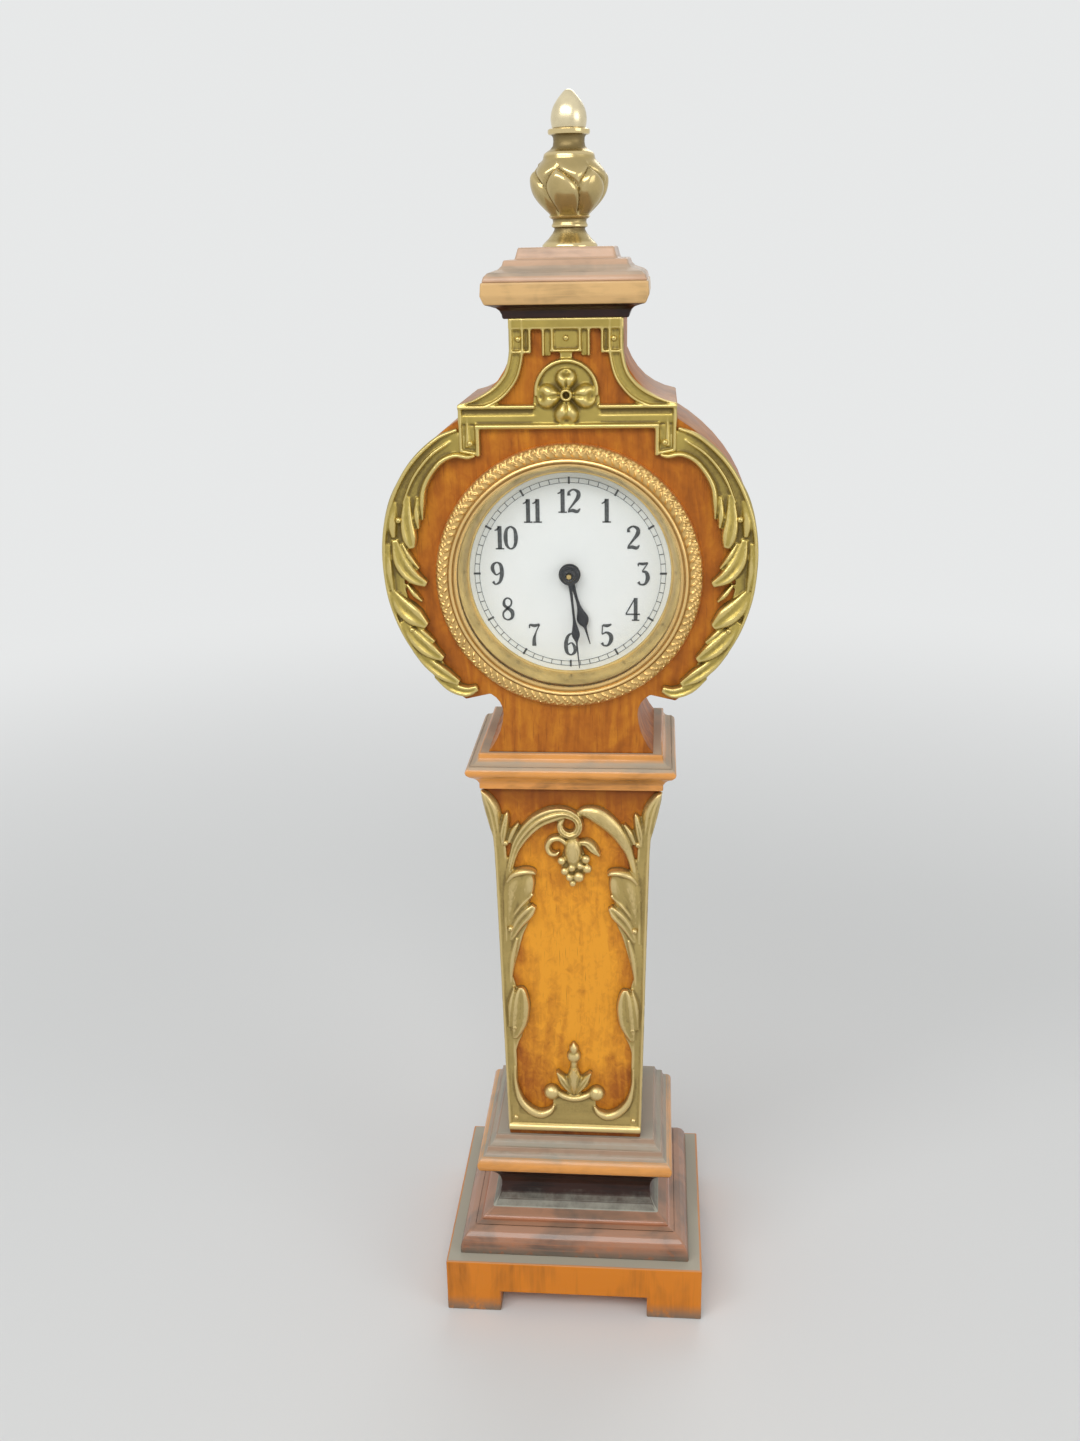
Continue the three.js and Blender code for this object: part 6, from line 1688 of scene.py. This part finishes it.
class CLOCK_OT_hands(bpy.types.Operator):
    """Shapes the black spade hands and their collet"""

    bl_idname = "clock.hands"
    bl_label = "Hands"

    # Blades as (distance from the centre, half width)
    hour = [
        (1.5, 0.9), (3.4, 0.62), (6.0, 0.42), (8.6, 0.45), (10.6, 0.85), (12.3, 1.5), (13.4, 1.62),
        (14.5, 1.2), (15.4, 0.5), (16.6, 0.3), (20.5, 0.12),
    ]
    minute = [
        (1.5, 0.75), (4.0, 0.45), (8.0, 0.34), (12.5, 0.38), (14.4, 0.7), (16.2, 1.08), (17.3, 1.05),
        (18.3, 0.6), (19.3, 0.26), (22.0, 0.2), (26.5, 0.1),
    ]
    hour_degrees = 164.3
    minute_degrees = 174.3
    collet_radius = 2.0
    collet_bore = 0.98
    soft_edge = 0.12

    def blade(self, widths, degrees, front, back):
        turn = math.radians(degrees)
        path = []
        for reach, half in widths:
            path.append((reach * math.sin(turn), DIAL_CENTRE + reach * math.cos(turn), half, back - front))
        return moved(backed(strip(path, thin_blade, 70, 8)), (0, back, 0))

    def hub(self, inner, outer, front, back):
        """A flat ring with rounded edges round the dial's axis."""
        soft = self.soft_edge
        profile = [
            (inner, back), (outer, back), (outer, front + soft), (outer - soft, front),
            (inner + soft, front), (inner, front + soft), (inner, back),
        ]
        return turned("hub", profile, 64, across=True)

    def execute(self, context):
        # Each hand by its node, body, blade, turn, bore and hub radius
        rows = (
            ("hour_hand", "hour_work", self.hour, self.hour_degrees, 1.62, 3.0),
            ("minute_hand", "hand_setting", self.minute, self.minute_degrees, 1.02, 2.7),
        )
        for node, body, widths, degrees, bore, hub in rows:
            front, back = front_back(node)
            arm = self.blade(widths, degrees, front, back)
            piece = joined(node + "_spade", [arm, self.hub(bore, hub, front, back)])
            complete(piece, 40, "blackened_steel", body, "steel_black", node)
        self.collet()
        return {"FINISHED"}

    def collet(self):
        """A domed black washer round the bright end of the arbor."""
        front, back = front_back("hand_collet")
        outer, bore = self.collet_radius, self.collet_bore
        profile = [
            (bore, back), (outer, back), (outer, back - 0.35), (outer - 0.2, back - 0.62),
            (outer - 0.7, front + 0.12), (bore + 0.35, front), (bore, front + 0.15), (bore, back),
        ]
        piece = turned("hand_collet_turned", profile, 64, across=True)
        complete(piece, 40, "blackened_steel", "hand_setting", "steel_black", "hand_collet")


# Back of the clock and the movement


class CLOCK_OT_back(bpy.types.Operator):
    """Spins the back cover and shapes the winding key and the setting knob"""

    bl_idname = "clock.back"
    bl_label = "Back Cover, Key and Knob"

    cover_hole = 1.6
    cover_dish = 0.96
    key_hole = 3.7
    key_pipe = 2.8
    key_thickness = 2.4
    bow_height = 6.8
    knob_ridges = 24
    ridge_depth = 0.05

    def cover(self):
        front, back = front_back("back_cover")
        outer, hole = radius_mm("back_cover"), self.cover_hole
        floor = back - self.cover_dish
        profile = [
            (hole, front), (outer - 0.2, front), (outer, front + 0.2), (outer, back - 0.75),
            (outer - 0.4, back - 0.3), (outer - 1.1, back - 0.04), (outer - 1.7, back),
            (outer - 2.4, back - 0.25), (outer - 3.0, floor + 0.22), (outer - 3.7, floor + 0.03),
            (outer - 5.0, floor), (20.4, floor), (20.0, floor), (19.6, floor + 0.16),
            (19.1, floor + 0.16), (18.7, floor), (18.3, floor), (hole + 4.6, floor),
            (hole + 4.2, floor), (hole + 3.8, floor + 0.3), (hole + 0.5, floor + 0.3),
            (hole, floor + 0.1), (hole, front),
        ]
        piece = turned("back_cover_spun", profile, 144, across=True)
        bpy.ops.mesh.primitive_cylinder_add(
            vertices=64,
            radius=self.key_hole,
            depth=8,
            location=(self.key_x, back, self.key_z),
            rotation=(math.pi / 2, 0, 0),
        )
        drill = start("drill")
        modify(piece, "BOOLEAN", operation="DIFFERENCE", solver="EXACT", object=drill)
        bpy.data.objects.remove(drill)
        mark_recesses(piece, fine=1, broad=4)
        complete(piece, 35, "brass_lacquered", "case", "brass_lacquered", "back_cover")

    def bow(self, foot):
        """The butterfly bow of the key, from one smooth outline."""
        half = (KEY_HIGH.x - KEY_LOW.x) / 2
        side = [(0, 5.2), (half * 0.4, 6.7), (half * 0.86, 6.5), (half, 3.8), (half * 0.7, 1.4), (1.5, 0)]
        outline = [*side, *[(-x, y) for x, y in reversed(side[1:])], side[0]]
        line = smooth_line(outline, 96)[:-1]
        bpy.ops.mesh.primitive_circle_add(vertices=96, fill_type="NGON")
        piece = start("bow")
        thick = self.key_thickness
        for vertex, (x, y) in zip(piece.data.vertices, line):
            vertex.co = (self.key_x + x, foot + y, self.key_z - thick / 2)
        edit(piece)
        bpy.ops.mesh.extrude_region_move(TRANSFORM_OT_translate={"value": (0, 0, thick)})
        leave_edit()
        tidy(piece)
        modify(
            piece,
            "BEVEL",
            width=0.7,
            segments=4,
            limit_method="ANGLE",
            angle_limit=math.radians(60),
        )
        return piece

    def key(self):
        front, end = KEY_LOW.y, KEY_HIGH.y - self.bow_height + 1
        radius = self.key_pipe
        profile = [
            (radius * 0.62, front), (radius - 0.2, front), (radius, front + 0.25), (radius, end - 2.6),
            (radius + 0.35, end - 2.3), (radius + 0.35, end - 1.5), (radius, end - 1.2),
            (radius, end - 0.5), (radius - 0.6, end), (0.02, end + 0.1),
        ]
        pipe = turned("pipe", profile, 64, across=True)
        moved(pipe, (self.key_x, 0, self.key_z - DIAL_CENTRE))
        piece = joined("winding_key_cast", [pipe, self.bow(end - 1)])
        mark_recesses(piece, fine=1, broad=4)
        complete(piece, 40, "brass_lacquered", "winding", "brass_lacquered", "winding_key")

    def knob(self):
        low, high = box_mm("set_knob")
        front, back = low.y, high.y
        outer = (high.x - low.x) / 2
        profile = [
            (1.0, front), (outer - 0.8, front), (outer - 0.2, front + 0.3), (outer, front + 0.7),
            (outer, back - 1.0), (outer - 0.25, back - 0.5), (outer - 0.8, back - 0.05),
            (outer - 1.5, back), (outer - 1.8, back - 0.35), (1.2, back - 0.35), (0.02, back - 0.3),
        ]
        piece = turned("set_knob_milled", profile, 192, across=True)
        for vertex in piece.data.vertices:
            rise = vertex.co.z - DIAL_CENTRE
            reach = math.hypot(vertex.co.x, rise)
            if reach > outer - 0.3:
                cut = 0.5 + 0.5 * math.cos(self.knob_ridges * math.atan2(rise, vertex.co.x))
                share = 1 - self.ridge_depth * cut
                vertex.co.x *= share
                vertex.co.z = DIAL_CENTRE + rise * share
        mark_recesses(piece, fine=1, broad=4)
        complete(piece, 40, "brass_lacquered", "hand_setting", "brass_lacquered", "set_knob")

    def execute(self, context):
        self.key_x = (KEY_LOW.x + KEY_HIGH.x) / 2
        self.key_z = (KEY_LOW.z + KEY_HIGH.z) / 2
        self.cover()
        self.key()
        self.knob()
        return {"FINISHED"}


class CLOCK_OT_movement(bpy.types.Operator):
    """Gives the movement and the glass their finishes"""

    bl_idname = "clock.movement"
    bl_label = "Movement"

    steel = (
        "finial_stud", "barrel_arbor", "mainspring", "click", "click_screw", "third_arbor",
        "fourth_arbor", "escape_arbor", "pallet_lever", "balance_staff", "hairspring", "minute_stud",
        "cannon_pinion", "centre_pinion", "ratchet_wheel",
    )

    def execute(self, context):
        for name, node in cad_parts.items():
            if node.hide_render:
                continue
            if name == "glass":
                look = "dial_glass"
            elif name in self.steel:
                look = "steel_bright"
            else:
                look = "brass_movement"
            node.data.materials.clear()
            node.data.materials.append(material(look))
        return {"FINISHED"}


class CLOCK_OT_stage(bpy.types.Operator):
    """Sets the camera, the soft light and a plain floor"""

    bl_idname = "clock.stage"
    bl_label = "Stage"

    floor_half = 3.0
    plain_from = 0.25
    plain_to = 0.9
    sweep_radius = 2.0
    sweep_steps = 16
    sensor_width = 36
    clip_start = 0.01
    aim_height = 0.18

    def execute(self, context):
        stage = context.scene.clock_stage
        colours = context.scene.clock_colours
        context.scene.view_settings.view_transform = "Standard"
        self.camera(context, stage)
        self.light(context, stage, colours)
        self.floor(colours)
        return {"FINISHED"}

    def camera(self, context, stage):
        bpy.ops.object.camera_add()
        camera = context.object
        yaw = Matrix.Rotation(stage.camera_yaw, 4, "Z")
        tilt = Matrix.Rotation(math.pi / 2 - stage.camera_pitch, 4, "X")
        roll = Matrix.Rotation(stage.camera_roll, 4, "Z")
        camera.matrix_world = Matrix.Translation(stage.camera_place) @ yaw @ tilt @ roll
        camera.data.lens = stage.focal_length
        camera.data.sensor_width = self.sensor_width
        camera.data.clip_start = self.clip_start
        context.scene.camera = camera

    def light(self, context, stage, colours):
        """Even light from all round, a plain background and three soft lamps."""
        world = context.scene.world or bpy.data.worlds.new("World")
        context.scene.world = world
        world.use_nodes = True
        nodes = Nodes(world.node_tree)
        background = nodes.tree.nodes["Background"]
        nodes.feed(background.inputs["Color"], colours.sky)
        nodes.feed(background.inputs["Strength"], stage.sky)
        sky = Value(nodes, background.outputs[0])
        plain = nodes.node("ShaderNodeBackground", inputs={"Color": colours.backdrop})
        shown = nodes.node("ShaderNodeMixShader", inputs={0: nodes.seen(), 1: sky, 2: plain})
        nodes.feed(nodes.tree.nodes["World Output"].inputs["Surface"], shown)
        # Lamps by name, place, width and height, and power
        lamps = (
            ("key", (-0.3, -0.85, 1.0), (1.3, 0.4), stage.key_power),
            ("fill", (0.9, -0.6, 0.5), (0.6, 0.6), stage.key_power * 0.25),
            ("back", (0.1, 0.9, 0.9), (0.6, 0.6), stage.key_power * 0.3),
        )
        for name, place, (width, height), power in lamps:
            bpy.ops.object.light_add(type="AREA", location=place)
            lamp = context.object
            lamp.name = name
            lamp.data.shape = "RECTANGLE"
            lamp.data.size = width
            lamp.data.size_y = height
            lamp.data.energy = power
            aim = Vector((0, 0, self.aim_height)) - lamp.location
            lamp.rotation_euler = aim.to_track_quat("-Z", "Y").to_euler()

    def floor(self, colours):
        """A pale floor that sweeps up into a backdrop far behind the clock."""
        bpy.ops.mesh.primitive_plane_add(size=2 * self.floor_half, location=(0, 0, 0))
        floor = start("floor")
        edit(floor, selected=False)
        bpy.ops.mesh.select_mode(type="EDGE")
        leave_edit()
        for edge in floor.data.edges:
            edge.select = all(floor.data.vertices[i].co.y > 0 for i in edge.vertices)
        pick(floor)
        bpy.ops.object.mode_set(mode="EDIT")
        step = math.radians(90) / self.sweep_steps
        for k in range(self.sweep_steps):
            run = self.sweep_radius * (math.sin((k + 1) * step) - math.sin(k * step))
            rise = self.sweep_radius * (math.cos(k * step) - math.cos((k + 1) * step))
            bpy.ops.mesh.extrude_region_move(TRANSFORM_OT_translate={"value": (0, run, rise)})
        bpy.ops.mesh.extrude_region_move(TRANSFORM_OT_translate={"value": (0, 0, self.floor_half)})
        bpy.ops.mesh.select_mode(type="VERT")
        leave_edit()
        tidy(floor)
        bpy.ops.object.shade_smooth()
        finish = Finish("plain_floor")
        cloud = finish.noise(finish.place, 0.004, 2.0)
        colour = finish.mix(cloud, colours.floor, shaded(colours.floor, 0.97))
        finish.set(Base_Color=colour, Roughness=0.75)
        reach = (finish.x * finish.x + finish.y * finish.y) ** 0.5
        far = reach.step(self.plain_from / MM, self.plain_to / MM)
        glow = finish.node("ShaderNodeEmission", inputs={"Color": colours.backdrop, "Strength": 1.0})
        surface = Value(finish, finish.shader.outputs[0])
        mixed = finish.node("ShaderNodeMixShader", inputs={0: finish.seen() * far, 1: surface, 2: glow})
        finish.feed(finish.tree.nodes["Material Output"].inputs["Surface"], mixed)
        floor.data.materials.append(finish.material)


class CLOCK_PT_panel(bpy.types.Panel):
    """Lists the steps that build the clock"""

    bl_label = "Longcase Clock"
    bl_idname = "CLOCK_PT_panel"
    bl_space_type = "VIEW_3D"
    bl_region_type = "UI"
    bl_category = "Clock"

    def draw(self, context):
        for step in STEPS:
            self.layout.operator(step.bl_idname)


STEPS = (
    CLOCK_OT_finishes,
    CLOCK_OT_case,
    CLOCK_OT_trunk_mount,
    CLOCK_OT_pediment,
    CLOCK_OT_scrolls,
    CLOCK_OT_pins,
    CLOCK_OT_finial,
    CLOCK_OT_bezel,
    CLOCK_OT_dial,
    CLOCK_OT_hands,
    CLOCK_OT_back,
    CLOCK_OT_movement,
    CLOCK_OT_stage,
)
GROUPS = (ClockSizes, ClockColours, ClockStage)


def register():
    for item in (*GROUPS, *STEPS, CLOCK_PT_panel):
        bpy.utils.register_class(item)
    bpy.types.Scene.clock_sizes = PointerProperty(type=ClockSizes)
    bpy.types.Scene.clock_colours = PointerProperty(type=ClockColours)
    bpy.types.Scene.clock_stage = PointerProperty(type=ClockStage)


def unregister():
    del bpy.types.Scene.clock_stage
    del bpy.types.Scene.clock_colours
    del bpy.types.Scene.clock_sizes
    for item in reversed((*GROUPS, *STEPS, CLOCK_PT_panel)):
        bpy.utils.unregister_class(item)


def main():
    register()
    for step in STEPS:
        group, name = step.bl_idname.split(".")
        getattr(getattr(bpy.ops, group), name)()


if __name__ == "__main__":
    main()
